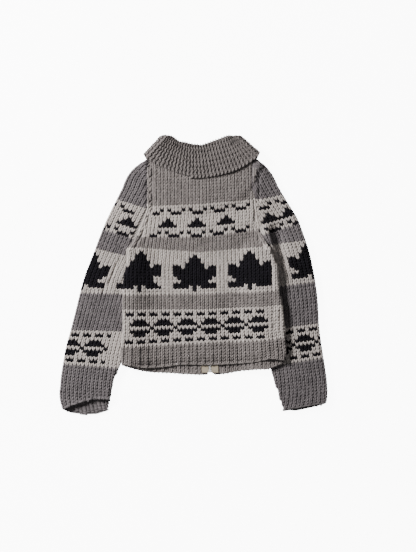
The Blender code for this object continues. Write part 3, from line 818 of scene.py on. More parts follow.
def ground_finish(name, colour, groove_shade, sheen=0.1):
    """The wall behind the loops: the same wool with rows of small V shapes in relief. Its colour is
    painted darker in the grooves between the V shapes and lighter on their ridges: painted shade
    between the loops, as dark as the share of the yarn's colour given as the third argument.
    """
    finish = Finish(name)
    place = finish.place()
    knit = finish.attribute("knit", "Vector")
    across = (finish.split(knit, "X") + 100.0).fraction() - 0.5
    row = finish.split(knit, "Y") + 100.0
    leaning = (row - 1.3 * across.absolute()).fraction() - 0.5
    ridge = 1.0 - (leaning.absolute() * 2.0)
    middle = 1.0 - ((across.absolute() * 2.0) - 0.5).absolute() * 2.0
    loop = ridge * 0.6 + middle * 0.6
    fibres = finish.noise(finish.stretched(place, (1.0, 0.55, 1.0)), 720, 3.0, 0.7)
    amount = loop * 0.65 + fibres * 0.6 - 0.15
    # Painted shade: the grooves of the V pattern darker, the ridges lighter
    tone = finish.mix(amount, scaled(colour, groove_shade), scaled(colour, 1.1))
    return finish.set(Base_Color=tone, Roughness=0.84 + 0.14 * fibres,
                      Normal=finish.bump(loop + 0.4 * fibres, 0.0018, 0.8),
                      Sheen_Weight=sheen, Sheen_Roughness=0.55,
                      Sheen_Tint=(0.8, 0.78, 0.76, 1.0), Specular_IOR_Level=0.12)


BODY_GREY = (0.172, 0.153, 0.148)
SLEEVE_GREY = (0.116, 0.104, 0.109)
COLLAR_GREY = (0.172, 0.153, 0.149)
CREAM_WOOL = (0.40, 0.362, 0.34)
DARK_WOOL = (0.0062, 0.0054, 0.0078)

YARNS = {
    "body": [yarn_finish("body_grey_yarn", BODY_GREY, 0.34, 0.16),
             yarn_finish("cream_yarn", CREAM_WOOL, 0.2, 0.1),
             yarn_finish("dark_yarn", DARK_WOOL, 0.5, 0.004, 0.008)],
    "sleeve": [yarn_finish("sleeve_grey_yarn", SLEEVE_GREY, 0.38, 0.2)],
    "collar": [yarn_finish("collar_yarn", COLLAR_GREY, 0.42, 0.16)],
}
YARNS["sleeve"] += YARNS["body"][1:]
# The number after each colour is how dark that ground's grooves are painted, as a share of the
# colour: painted shade between the loops
GROUNDS = {
    "body": [ground_finish("body_grey_ground", BODY_GREY, 0.95),
             ground_finish("cream_ground", CREAM_WOOL, 0.75),
             ground_finish("dark_ground", DARK_WOOL, 0.6, 0.004)],
    "sleeve": [ground_finish("sleeve_grey_ground", SLEEVE_GREY, 0.85)],
    "collar": [ground_finish("collar_ground", COLLAR_GREY, 0.6)],
}
GROUNDS["sleeve"] += GROUNDS["body"][1:]

# Making meshes


def add_object(name, builder, materials, smooth_faces=True):
    """Turn a finished bmesh into an object."""
    mesh = bpy.data.meshes.new(name)
    builder.to_mesh(mesh)
    builder.free()
    for material in materials:
        mesh.materials.append(material)
    if smooth_faces:
        mesh.shade_smooth()
    item = bpy.data.objects.new(name, mesh)
    bpy.context.scene.collection.objects.link(item)
    return item


def ground_wall(name, points, outward, stitches, materials, colour, wall=GROUND_WALL):
    """Close a thin wall round a grid of outer points, coloured by its stitches."""
    rows, columns = points.shape[:2]
    outer = points.reshape(-1, 3)
    inner = (points - outward * wall).reshape(-1, 3)
    builder = bmesh.new()
    bmesh.ops.create_grid(builder, x_segments=columns - 1, y_segments=rows - 1, size=1)
    place = builder.verts.layers.int.new("place")
    for index, vert in enumerate(builder.verts):
        vert[place] = index
        vert.co = inner[index]
    lifted = bmesh.ops.extrude_face_region(builder, geom=builder.faces[:], use_keep_orig=True)
    for part in lifted["geom"]:
        if isinstance(part, bmesh.types.BMVert):
            part.co = outer[part[place]]
    bmesh.ops.recalc_face_normals(builder, faces=builder.faces[:])
    flat = stitches.reshape(-1, 2)
    for face in builder.faces:
        column, row = np.mean([flat[vert[place]] for vert in face.verts], axis=0)
        face.material_index = colour(math.floor(column + 0.5), math.floor(row))
    order = np.array([vert[place] for vert in builder.verts])
    item = add_object(name, builder, materials)
    knit = item.data.attributes.new("knit", "FLOAT_VECTOR", "POINT")
    values = np.zeros((len(order), 3), np.float32)
    values[:, :2] = flat[order]
    knit.data.foreach_set("vector", values.ravel())
    item.data.set_sharp_from_angle(angle=math.radians(60))
    return item


def loop_shape(sides, rings):
    """A round spindle: its points as angle and length along, its faces, and its corners' places
    in a texture cell."""
    builder = bmesh.new()
    bmesh.ops.create_uvsphere(builder, u_segments=sides, v_segments=rings, radius=1.0)
    points = np.array([vert.co for vert in builder.verts])
    faces = [[vert.index for vert in face.verts] for face in builder.faces]
    builder.free()
    turn = np.arctan2(points[:, 1], points[:, 0]) / (2 * math.pi) % 1.0
    pole = np.hypot(points[:, 0], points[:, 1]) < 1e-4
    length = np.arccos(np.clip(points[:, 2], -1, 1)) / math.pi
    cells = []
    for face in faces:
        turns = [turn[index] for index in face if not pole[index]]
        high = max(turns)
        for index in face:
            value = float(np.mean([t + (1 if high - t > 0.5 else 0) for t in turns]))
            if not pole[index]:
                value = turn[index] + (1 if high - turn[index] > 0.5 else 0)
            cells.append((value, 1 - length[index]))
    return points, faces, np.array(cells)


SPINDLE = loop_shape(sides=6, rings=5)
# Columns and rows share this many different streaks of lighter and darker yarn
STREAKS = 97


def yarn_loops(name, place, loops, materials, seed):
    """Join many short lengths of yarn into one piece.

    Each loop is (kind, column, row, colour, raise, size), and a kind's path gives its points:
    across in stitches, up in rows, and their height in millimetres.
    """
    points, faces, cells = SPINDLE
    random = np.random.default_rng(seed)
    count = len(loops)
    kinds = np.array([loop[0] for loop in loops])
    column, row, colour, lift, size = (np.array([loop[k] for loop in loops], float)
                                       for k in range(1, 6))
    t = (1 - points[:, 2]) / 2
    round_x, round_y = points[:, 0], points[:, 1]
    jitter = random.uniform(-1, 1, (count, 4))
    across = np.zeros((count, len(points)))
    up = np.zeros_like(across)
    height = np.zeros_like(across)
    for kind, path in LOOP_PATHS.items():
        chosen = kinds == kind
        if chosen.any():
            across[chosen], up[chosen], height[chosen] = path(t, round_x, round_y)
    across = across * size[:, None] * (1 + 0.05 * jitter[:, 2:3]) + 0.035 * jitter[:, 0:1]
    up = up + 0.06 * jitter[:, 1:2]
    height = (height * size[:, None] + lift[:, None] + 0.22 * jitter[:, 3:4]) * MM
    world = place(column[:, None] + across, row[:, None] + up, height)
    world = world.reshape(-1, 3)
    world[:, 2] = np.maximum(world[:, 2], LOWEST_LOOP)
    base = np.arange(count) * len(points)
    mesh = bpy.data.meshes.new(name)
    every = [[index + int(start) for index in face] for start in base for face in faces]
    mesh.from_pydata(world.tolist(), [], every)
    for material in materials:
        mesh.materials.append(material)
    mesh.polygons.foreach_set("material_index", np.repeat(colour.astype(int), len(faces)))
    mesh.shade_smooth()
    shade = mesh.attributes.new("shade", "FLOAT", "POINT")
    streaks = random.uniform(0, 1, STREAKS)
    along_row = 0.5 + 0.5 * np.sin(column * 0.55 + 40 * streaks[row.astype(int) % STREAKS])
    own = (0.5 * random.uniform(0, 1, count) + 0.28 * streaks[column.astype(int) % STREAKS]
           + 0.22 * along_row)
    shade.data.foreach_set("value", np.repeat(own, len(points)).astype(np.float32))
    across_cells = math.ceil(math.sqrt(count))
    corner = np.stack([np.arange(count) % across_cells, np.arange(count) // across_cells], -1)
    inside = 0.08 + 0.84 * cells / np.array([1.2, 1.0])
    unwrap = (corner[:, None, :] + inside[None, :, :]) / across_cells
    layer = mesh.uv_layers.new(name="OFBake")
    layer.data.foreach_set("uv", unwrap.reshape(-1).astype(np.float32))
    item = bpy.data.objects.new(name, mesh)
    bpy.context.scene.collection.objects.link(item)
    return item


def leg_path(side):
    """One leg of a V: it comes out low between the legs below, swells, and dives above."""
    def path(t, round_x, round_y):
        middle = side * (0.055 + 0.29 * t)
        lean = round_x * 0.25 * (0.85 + 0.3 * np.sin(math.pi * t))
        rise = -0.45 + 1.66 * t + 0.08 * side * round_x
        arch = 0.2 + 1.6 * np.sin(math.pi * np.clip(t * 1.05, 0, 1)) ** 0.7 - 0.6 * t
        return middle + lean, rise, arch + 1.45 * round_y
    return path


def bar_path(t, round_x, round_y):
    """A purl bump: a short bar across the column, arched."""
    rise = 0.5 + round_x * 0.36 - 0.9 * (t - 0.5) ** 2
    return (t - 0.5) * 1.12, rise, 0.2 + 1.0 * np.sin(math.pi * t) + 1.3 * round_y


def edge_path(t, round_x, round_y):
    """A cast-on loop lying along an edge."""
    arch = -0.6 + 0.7 * np.sin(math.pi * t) + 2.0 * round_y
    return (t - 0.5) * 1.25, 0.1 + round_x * 0.34, arch


def slant_path(side):
    """A garter loop: a short length that leans one way or the other."""
    def path(t, round_x, round_y):
        middle = (t - 0.5) * 1.36 + 0.16 * side * round_x
        rise = side * (t - 0.5) * 0.46 + round_x * 0.2
        return middle, rise, 0.1 + 1.3 * np.sin(math.pi * t) + 1.5 * round_y
    return path


LOOP_PATHS = {"left_leg": leg_path(-1), "right_leg": leg_path(1), "bar": bar_path,
              "edge": edge_path, "slant_up": slant_path(1), "slant_down": slant_path(-1)}


def stitch(loops, column, row, colour, lift=0.0):
    for kind in ("left_leg", "right_leg"):
        loops.append((kind, column, row, colour, lift, 1.0))


def rib_lift(column):
    """Ribs stand up over one column and sink over the next."""
    return 0.6 if column % RIB_COLUMNS == 0 else -0.7


# Panels


def body_grid(columns, rows, hem, neck, layer, ends):
    """Outer points of a body layer, between its two ends across."""
    lowest = FIRST_ROW_Y
    all_y = np.linspace(lowest, SHOULDER_Y, rows)
    grid = np.zeros((rows, columns, 2))
    for index, y in enumerate(all_y):
        start, end = (float(part(y)) for part in ends)
        x = np.linspace(start, end, columns)
        hem_share = np.clip(1 - (y - lowest) / HEM_REACH, 0, 1)
        top_share = np.clip(1 - (SHOULDER_Y - y) / SHOULDER_REACH, 0, 1)
        top = shoulder_line(neck, x)
        grid[index, :, 0] = x
        grid[index, :, 1] = (y + hem_share * (curve(hem, x) - lowest)
                             + top_share * (top - SHOULDER_Y))
    x, y = grid[..., 0], grid[..., 1]
    left, right = body_edges(y)
    under = 1 - smooth((np.minimum(x - left, right - x) + SEAM_TUCK) / (2.2 * SEAM_TUCK))
    sunk = GROUND_BELOW + SEAM_SINK * under * (1 - armhole_roll(y))
    points, outward = body_surface(x, y, layer, -sunk)
    column, row = body_stitch(x, y, hem)
    return points, outward, np.stack([column, row], -1)


def shoulder_line(neck, x):
    lowered = [(px, py - NECK_GAP / MM) for px, py in neck]
    return straight(sorted([(-106, 265)] + lowered + [(135, 265)]), x)


def seam_reach(y):
    """How far a body panel goes past its edge: round the side below the armpit, and tucked
    under the sleeve along the armhole."""
    roll = armhole_roll(y)
    return (EDGE_EXTRA - ROLL_END_GAP) * roll - SEAM_GAP + SEAM_TUCK * (1 - roll)


def left_seam(y):
    return curve(BODY_LEFT_EDGE, y) - seam_reach(y)


def right_seam(y):
    return curve(BODY_RIGHT_EDGE, y) + seam_reach(y)


def zip_edge(side):
    def edge(y):
        share = np.clip(1 - (y - FIRST_ROW_Y) / HEM_REACH, 0, 1)
        bent = y + share * (curve(FRONT_HEM, zip_x(y)) - FIRST_ROW_Y)
        return zip_x(bent) + side * ZIP_OPENING
    return edge


def body_loops(hem, layer, keep):
    """The loops of a body layer, where keep says so."""
    loops = []
    columns = np.arange(*BODY_LOOP_COLUMNS)
    for row in range(BODY_LOOP_ROWS):
        x, y = body_plan(columns.astype(float), np.full(len(columns), row + 0.5), hem)
        left, right = body_edges(y)
        roll = armhole_roll(y)
        inset = np.minimum(x - left, right - x) + (EDGE_EXTRA - LOOP_MARGIN) * roll
        top = straight(BACK_FALL_EDGE, x) + UNDER_FALL
        for index, column in enumerate(columns):
            if inset[index] < LOOP_MARGIN or y[index] > top[index]:
                continue
            if layer > 0 and beside_armhole(x[index], y[index]):
                continue
            if not keep(column, row, x[index], y[index]):
                continue
            colour = body_colour(int(column), row)
            stitch(loops, column, row, colour, rib_lift(column) if row < HEM_RIB_ROWS else 0.0)
            if row == 0:
                for half in (0.0, 0.5):
                    loops.append(("edge", column + half, -0.1, colour, EDGE_LIFT, 1.0))
    return loops


def build_body():
    """The back, and the two fronts under it with their stitches where they show."""
    back = ground_wall("back_ground", *body_grid(84, 96, BACK_HEM, BACK_NECK, 1.0,
                                                 (left_seam, right_seam)),
                       GROUNDS["body"], body_colour)
    place = body_loops_place(1.0, BACK_HEM)
    lower = yarn_loops("back_loops_lower", place,
                       body_loops(BACK_HEM, 1.0, lambda c, r, x, y: r < BACK_SPLIT_ROW),
                       YARNS["body"], seed=11)
    upper = yarn_loops("back_loops_upper", place,
                       body_loops(BACK_HEM, 1.0, lambda c, r, x, y: r >= BACK_SPLIT_ROW),
                       YARNS["body"], seed=12)
    pieces = {"back": (back, [lower, upper])}
    fronts = (("front_left", (left_seam, zip_edge(-1)), -math.inf, FRONTS_MEET_X),
              ("front_right", (zip_edge(1), right_seam), FRONTS_MEET_X, math.inf))
    for name, ends, low, high in fronts:
        wall = ground_wall(name + "_ground", *body_grid(44, 96, FRONT_HEM, FRONT_NECK, -1.0, ends),
                           GROUNDS["body"], body_colour)

        def keep(column, row, x, y, low=low, high=high):
            if abs(x - zip_x(y)) < ZIP_CLEAR or not low < x < high:
                return False
            left, right = body_edges(np.array(y))
            return row < FRONT_HEM_LOOP_ROWS or min(x - left, right - x) < FRONT_SIDE_LOOPS

        def keep_inner(column, row, x, y, keep=keep):
            return (row < INNER_LOOP_ROWS and keep(column, 0, x, y)
                    and abs(x - zip_x(y)) > TAPE_REACH)

        loops = yarn_loops(name + "_loops", body_loops_place(-1.0, FRONT_HEM),
                           body_loops(FRONT_HEM, -1.0, keep), YARNS["body"], seed=21)
        inner = yarn_loops(name + "_inner_loops", body_inner_place(-1.0, FRONT_HEM),
                           body_loops(FRONT_HEM, -1.0, keep_inner), YARNS["body"], seed=22)
        pieces[name] = (wall, [loops, inner])
    return pieces


def sleeve_ground(sleeve, materials, colour, name):
    """Both layers and the fold of a sleeve as one wall, from the shoulder to the cuff."""
    rows, columns = 110, 92
    share = np.linspace(0, 1, rows)
    turn = np.linspace(-1, 1, columns)
    all_y = CAP_TOP_Y + (CUFF_LINE_Y - CAP_TOP_Y) * share
    grid_y = np.zeros((rows, columns))
    grid_along = np.zeros((rows, columns))
    for index, y in enumerate(all_y):
        inner, outer = (float(part) for part in sleeve_edges(sleeve, np.array(y)))
        roll = float(armhole_roll(y)) if y > ARMPIT_Y else 1.0
        reach = abs(outer - inner) + EDGE_EXTRA + (EDGE_EXTRA - ROLL_END_GAP) * roll - SEAM_GAP
        along = turn * reach
        fraction = sleeve_fraction(sleeve, along, np.full(columns, y))
        ends = np.where(along > 0, cuff_end(sleeve, fraction, True),
                        cuff_end(sleeve, fraction, False))
        middle = np.clip(np.abs(along) / FOLD_BLEND, 0, 1)
        both = (cuff_end(sleeve, fraction, True) + cuff_end(sleeve, fraction, False)) / 2
        ends = both + (ends - both) * middle
        pull = smooth((share[index] - CUFF_BEND_START) / CUFF_BEND_LENGTH)
        grid_y[index] = y + pull * (ends - CUFF_LINE_Y)
        grid_along[index] = along
    points, outward = sleeve_surface(sleeve, grid_along, grid_y,
                                     np.full_like(grid_y, -GROUND_BELOW))
    column = grid_along / straight(SLEEVE_STITCH, grid_y)
    row = row_of_height(*sleeve_rows_at(sleeve, sleeve_fraction(sleeve, grid_along, grid_y)),
                        grid_y)
    stitches = np.stack([column - 0.5, row], -1)
    return ground_wall(name, points, outward, stitches, materials, colour)


def sleeve_loops(sleeve, colour):
    """Loops of a sleeve's upper layer, its fold, and the first columns below it."""
    loops = []
    for row in range(-18, 68):
        columns = np.arange(-3, 18)
        middle = columns + 0.5
        rows = np.full(len(columns), row + 0.5)
        y = height_of_row(*sleeve_rows_at(sleeve, np.full(len(columns), 0.5)), rows)
        for _ in range(3):
            along = middle * straight(SLEEVE_STITCH, y)
            fraction = sleeve_fraction(sleeve, along, y)
            y = height_of_row(*sleeve_rows_at(sleeve, fraction), rows)
        inner, outer = sleeve_edges(sleeve, y)
        x = outer - sleeve["side"] * (np.abs(along) - EDGE_EXTRA)
        roll = np.where(y > ARMPIT_Y, armhole_roll(y), 1.0)
        reach = np.abs(outer - inner) + EDGE_EXTRA + EDGE_EXTRA * roll
        end = np.where(along > 0, cuff_end(sleeve, fraction, True),
                       cuff_end(sleeve, fraction, False))
        for index, column in enumerate(columns):
            if np.abs(along[index]) > reach[index] - SLEEVE_LOOP_MARGIN:
                continue
            if not end[index] + CUFF_LOOP_MARGIN <= y[index] <= CAP_LOOPS_TOP_Y:
                continue
            if beside_armhole(x[index], y[index]):
                continue
            tone = colour(int(column), row)
            in_cuff = y[index] < CUFF_RIB_TOP_Y
            raised = rib_lift(column) * CUFF_RIB_SHARE if in_cuff else 0.0
            stitch(loops, column + 0.5, row, tone, raised)
    return loops + cuff_edge_loops(sleeve, 1.0) + cuff_edge_loops(sleeve, -1.0)


def cuff_edge_loops(sleeve, layer):
    """Cast-on loops along the cuff's end, over one layer."""
    loops = []
    for column in np.arange(0.0 if layer > 0 else 1.5, 14.0, 0.5):
        along = np.array(layer * (column + 0.2) * CUFF_STITCH * MM)
        fraction = sleeve_fraction(sleeve, along, np.array(CUFF_LINE_Y))
        y = cuff_end(sleeve, fraction, layer > 0) + 2.5 * MM
        inner, outer = sleeve_edges(sleeve, y)
        if abs(along) > abs(outer - inner) + 2 * EDGE_EXTRA:
            break
        row = row_of_height(*sleeve_rows_at(sleeve, fraction), y)
        middle = along / straight(SLEEVE_STITCH, y)
        loops.append(("edge", float(middle), float(row), GREY, EDGE_LIFT, 1.0))
    return loops


def lip_loops(sleeve):
    """Loops on the inner face of the lower layer, where the cuff's mouth shows it."""
    loops = []
    for row in range(-18, -7):
        for column in range(2, 13):
            along = np.array(-column * CUFF_STITCH * MM)
            fraction = sleeve_fraction(sleeve, along, np.array(LIP_Y))
            y = height_of_row(*sleeve_rows_at(sleeve, fraction), row + 0.5)
            inner, outer = sleeve_edges(sleeve, y)
            if abs(along) > abs(outer - inner) + EDGE_EXTRA - LIP_MARGIN:
                continue
            if y > cuff_end(sleeve, fraction, False) + 1 * MM:
                for half in (0.0, 0.5):
                    loops.append(("bar", -column, row + half, GREY, rib_lift(column) * 0.5, 1.0))
    return loops


def build_sleeves():
    pieces = {}
    for side, sleeve in SLEEVES.items():
        colour = sleeve_colour(sleeve["side"])
        ground = sleeve_ground(sleeve, GROUNDS["sleeve"], colour, "sleeve_" + side + "_ground")
        loops = yarn_loops("sleeve_" + side + "_loops", sleeve_loops_place(sleeve),
                           sleeve_loops(sleeve, colour), YARNS["sleeve"], seed=31)
        lip = yarn_loops("sleeve_" + side + "_lip_loops", sleeve_inner_place(sleeve),
                         lip_loops(sleeve), YARNS["sleeve"], seed=32)
        pieces["sleeve_" + side] = (ground, [loops, lip])
    return pieces


# The collar

COLLAR_RIDGE = 8.2 * MM
COLLAR_LOOP = 6.0 * MM
# Length round the fold's crest
COLLAR_CREST = 9.6 * MM
# How far the fold draws back as it turns round the ear
EAR_ROUNDING = 11.0 * MM
COLLAR_STATIONS = 26
EAR_STATIONS = 13
COLLAR_WALL = 3.2 * MM
# At the centre back each half's wall reaches this far past the join and sinks a little, so that
# no gap shows between the halves
HALF_LAP = 2.2 * MM
HALF_LAP_SINK = 0.5 * MM


def collar_stations(rows, steps):
    """Foot, fold and edge points with the direction that faces out, finely spaced."""
    facing = {"up": np.array([0.0, 0.0, 1.0]), "down": np.array([0.0, 0.0, -1.0])}
    ear = next(index for index, row in enumerate(rows) if row[0] == "ear")
    stations = []
    for first, last, side in ((0, ear, "up"), (ear, len(rows) - 1, "down")):
        values = np.array([row[1:] for row in rows[first:last + 1]], float)
        keys = np.arange(len(values), dtype=float)
        at = np.linspace(0, len(values) - 1, steps)
        lines = [curve(list(zip(keys, values[:, k])), at * MM) for k in range(6)]
        for station in np.stack(lines, -1):
            stations.append((station[0:2], station[2:4], station[4:6], facing[side]))
        if side == "down":
            continue
        foot, fold, edge = stations[-1][:3]
        along = (fold - edge) / np.linalg.norm(fold - edge)
        away = np.array([-along[1], along[0]])
        away *= math.copysign(1, away[0] * fold[0])
        for angle in np.linspace(math.pi / 2, -math.pi / 2, EAR_STATIONS)[1:-1]:
            direction = np.array([*(away * math.cos(angle)), math.sin(angle)])
            rounded = EAR_ROUNDING * math.cos(angle) ** 1.2
            stations.append((foot, fold - along * rounded, edge + along * rounded / 3, direction))
    return stations


def collar_surface(stations, place, way, proud):
    """Points on the collar's outer side: place counts stations, and way runs 0 to 1 over the
    stand, 1 to 2 over the crest and 2 to 3 down the fall."""
    count = len(stations)
    index = np.clip(np.floor(place).astype(int), 0, count - 2)
    t = np.clip(place - index, 0, 1)[..., None]
    foot, fold, edge, out = (np.array([s[k] for s in stations]) for k in range(4))
    foot, fold, edge, out = (part[index] * (1 - t) + part[index + 1] * t
                             for part in (foot, fold, edge, out))
    out = out / np.linalg.norm(out, axis=-1, keepdims=True)
    stand_radius = FOLD_RADIUS
    fall_radius = FOLD_RADIUS + WALL + REST_GAP
    fold_radius = (fall_radius - stand_radius) / 2
    rise = (fold - foot) / np.linalg.norm(fold - foot, axis=-1, keepdims=True)
    fall = (edge - fold) / np.linalg.norm(edge - fold, axis=-1, keepdims=True)
    crest = (rise - fall) / np.linalg.norm(rise - fall, axis=-1, keepdims=True)
    stand_share = np.clip(way, 0, 1)[..., None]
    angle = np.clip(way - 1, 0, 1)[..., None] * math.pi
    fall_share = np.clip(way - 2, 0, 1)[..., None]
    plan = np.where(way[..., None] < 1, foot + (fold - foot) * stand_share,
                    fold + (edge - fold) * fall_share)
    plan = plan + crest * fold_radius * np.sin(angle)
    radius = stand_radius + fold_radius * (1 - np.cos(angle))
    flat = np.concatenate([crest * np.sin(angle), np.zeros_like(angle)], -1)
    face = flat - out * np.cos(angle)
    face = face / np.linalg.norm(face, axis=-1, keepdims=True)
    level = np.zeros_like(plan[..., :1]) + TUBE_MIDDLE + COLLAR_STACK
    middle = np.concatenate([plan, level], -1) + out * radius
    uneven = softness(middle[..., 0] * 1.7, middle[..., 1] * 1.7)[..., None] * face
    return middle + face * (WALL / 2 + np.asarray(proud)[..., None]) + uneven * 0.8, face


def collar_lengths(stations):
    """Running length along the fall, measured between fold and edge."""
    middle = np.array([(s[1] + s[2] * 2) / 3 for s in stations])
    out = np.array([s[3] for s in stations])
    line = np.concatenate([middle, np.zeros((len(middle), 1))], -1) + out * 12 * MM
    steps = np.linalg.norm(np.diff(line, axis=0), axis=1)
    return np.concatenate([[0], np.cumsum(steps)])


def build_collar(side, rows):
    stations = collar_stations(rows, COLLAR_STATIONS)
    count = len(stations)
    place = np.linspace(0, count - 1, count + 20)
    way = np.concatenate([np.linspace(0, 1, 12)[:-1], np.linspace(1, 2, 9)[:-1],
                          np.linspace(2, 3, 22)])
    grid_place, grid_way = np.meshgrid(place, way, indexing="ij")
    points, outward = collar_surface(stations, grid_place, grid_way,
                                     np.full_like(grid_way, -GROUND_BELOW))
    points[0] += np.array([HALF_LAP if side == "left" else -HALF_LAP, 0, 0])
    points[0] -= outward[0] * HALF_LAP_SINK
    lengths = collar_lengths(stations)
    ridges = np.interp(grid_place, np.arange(count), lengths) / COLLAR_RIDGE
    stitches = np.stack([ridges, grid_way * 8], -1)
    ground = ground_wall("collar_" + side + "_ground", points, outward, stitches,
                         GROUNDS["collar"], lambda column, row: 0, wall=COLLAR_WALL)
    loops = []
    total = int(lengths[-1] / COLLAR_RIDGE)
    foot, fold, edge = (np.array([station[k] for station in stations]) for k in range(3))
    stands, falls = (np.array([np.linalg.norm(line) for line in lines])
                     for lines in (fold - foot, edge - fold))

    def sizes_at(ridge):
        station = np.interp(ridge * COLLAR_RIDGE, lengths, np.arange(count))
        return station, *(np.interp(station, np.arange(count), part) for part in (stands, falls))

    for ridge in range(total):
        _, stand, fall = sizes_at(ridge + 0.5)
        for step in range(int((stand + COLLAR_CREST + fall) / COLLAR_LOOP)):
            kind = ("slant_up", "slant_down")[step % 2]
            loops.append((kind, step + 0.5, ridge + 0.5, 0, 0.2, 1.0))

    def loops_place(step, ridge, proud):
        """Here a loop's column is its step from the fall's edge over the crest to the foot, and
        its row is its ridge."""
        station, stand, fall = sizes_at(ridge)
        gone = stand + COLLAR_CREST + fall - step * COLLAR_LOOP
        past = gone - stand
        way = np.where(past < 0, gone / stand,
                       np.where(past < COLLAR_CREST, 1 + past / COLLAR_CREST,
                                2 + (past - COLLAR_CREST) / fall))
        return collar_surface(stations, station, np.clip(way, 0.02, 3.0),
                              proud - GROUND_BELOW)[0]

    made = yarn_loops("collar_" + side + "_loops", loops_place, loops, YARNS["collar"],
                      seed=41)
    return ground, [made]


# The armhole seams


ARMHOLE_LINES = {
    "left": [(52, -151), (56, -147), (79, -134.5), (114, -118), (154, -104), (248, -103.5)],
    "right": [(52, 179), (60, 173), (93, 155), (120, 153), (161, 148), (200, 143.5),
              (248, 143.5)],
}
ARMHOLE_PITCH = 7.2 * MM
ARMHOLE_TOP = 246 * MM
# Above the armpit, a panel's own stitches stay this far from the seam
ARMHOLE_REACH = 7.0 * MM
# The first rung's place above the armpit, in rungs, and the width of a stitch across the seam,
# in millimetres
FIRST_RUNG = 0.6
RUNG_WIDTH = 9.0


def beside_armhole(x, y):
    """True where the seam's own stitches lie in place of a panel's."""
    if y < ARMPIT_Y + 3 * MM:
        return False
    return any(abs(x - straight(line, y)) < ARMHOLE_REACH for line in ARMHOLE_LINES.values())


def build_armholes():
    """A column of drawn-up stitches along each armhole, across the seam like rungs."""
    made = {}
    for side, line in ARMHOLE_LINES.items():
        def place(across, up, proud, line=line):
            y = ARMPIT_Y + (up + FIRST_RUNG) * ARMHOLE_PITCH
            x = straight(line, y) + across * RUNG_WIDTH * MM
            left, right = body_edges(y)
            flat = np.zeros_like(y)
            return tube_place(x, y, left, right, 1.0, (flat, flat), body_lift, body_relief,
                              proud - GROUND_BELOW)[0]

        count = int((ARMHOLE_TOP - ARMPIT_Y) / ARMHOLE_PITCH)
        loops = []
        for rung in range(count):
            y = ARMPIT_Y + (rung + FIRST_RUNG) * ARMHOLE_PITCH
            x = float(straight(line, y))
            row = row_of_height(*body_row_lines(np.array(x), BACK_HEM), np.array(y))
            tone = body_colour(-5, int(row))
            uneven = math.sin(rung * 2.4)
            kind = ("slant_up", "slant_down")[rung % 2]
            loops.append((kind, 0.06 * uneven, rung + 0.5, tone, 0.5 * uneven,
                          0.78 + 0.1 * uneven))
            loops.append(("left_leg", -0.05, rung, tone, -0.2 + 0.6 * uneven, 1.1))
            loops.append(("right_leg", 0.05, rung + 0.3 * uneven, tone, -0.3, 1.0))
        made[side] = yarn_loops("armhole_" + side + "_stitches", place, loops, YARNS["body"],
                                seed=51)
    return made


# The zip


def zip_heights(y):
    """Height of the fronts' upper faces along the zip."""
    return WALL + neck_lift(zip_x(y), y)


def build_teeth(side):
    """A row of pressed metal teeth, each a small rounded block that reaches past the middle."""
    tooth = bmesh.new()
    bmesh.ops.create_cube(tooth, size=1.0)
    head = [vert for vert in tooth.verts if vert.co.x < 0]
    bmesh.ops.scale(tooth, vec=TOOTH_TIP, verts=head)
    bmesh.ops.scale(tooth, vec=TOOTH_SIZE, verts=tooth.verts)
    bmesh.ops.bevel(tooth, geom=tooth.edges[:], offset=TOOTH_BEVEL, segments=1, profile=0.5,
                    affect="EDGES", material=-1)
    points = np.array([vert.co for vert in tooth.verts])
    faces = [[vert.index for vert in face.verts] for face in tooth.faces]
    tooth.free()
    sign = -1 if side == "left" else 1
    start = TEETH_BOTTOM_Y + TOOTH_PITCH * (0.25 if side == "left" else 0.75)
    builder = bmesh.new()
    for y in np.arange(start, TEETH_TOP_Y - 1 * MM, TOOTH_PITCH):
        middle = zip_x(y) + sign * (TOOTH_SIZE[0] / 2 - TOOTH_HOOK)
        centre = np.array([middle, y, float(zip_heights(y)) + TEETH_RAISE])
        turned = points * np.array([sign, 1, 1])
        verts = [builder.verts.new(place) for place in turned + centre]
        for face in faces:
            order = face if sign > 0 else face[::-1]
            builder.faces.new([verts[index] for index in order])
    return add_object("zip_teeth_row_" + side, builder, [ZIP_METAL], smooth_faces=False)


def metal_finish(name):
    """Nickel-plated zip metal with rubbed spots and a faint brushed grain."""
    finish = Finish(name)
    place = finish.place()
    rubbed = finish.noise(place, 420, 3.0, 0.6)
    grain = finish.noise(finish.stretched(place, (1.0, 6.0, 1.0)), 900, 2.0)
    tone = finish.mix(rubbed, (0.80, 0.79, 0.78, 1.0), (0.95, 0.94, 0.93, 1.0))
    return finish.set(Base_Color=tone, Roughness=0.32 + 0.25 * rubbed, Metallic=0.5,
                      Normal=finish.bump(grain, 0.0002, 0.4))


def tape_finish(name, shade=1.0):
    """Cotton zip tape: a herringbone of warp and weft, soiled here and there."""
    finish = Finish(name)
    place = finish.place()
    x = finish.split(place, "X")
    y = finish.split(place, "Y")
    warp = (x * 330 + 100.0).fraction() - 0.5
    weft = ((y + x.absolute() * 0.6) * 420 + 100.0).fraction() - 0.5
    weave = 1.0 - warp.absolute() - weft.absolute()
    soiled = finish.noise(place, 60, 2.0)
    tone = finish.mix(weave * 0.7 + soiled * 0.5 - 0.1, scaled((0.25, 0.205, 0.15), shade),
                      scaled((0.50, 0.44, 0.34), shade))
    return finish.set(Base_Color=tone, Roughness=0.86, Normal=finish.bump(weave, 0.0004, 0.7),
                      Specular_IOR_Level=0.2)


ZIP_METAL = metal_finish("zip_metal_finish")
ZIP_TAPE = tape_finish("zip_tape_finish")
# The corded edges' finish is the tape's at a fifth of its lightness: painted shade of the gaps
# beside the teeth
ZIP_CORD_PAINTED_SHADE = tape_finish("zip_cord_painted_shade_finish", 0.22)


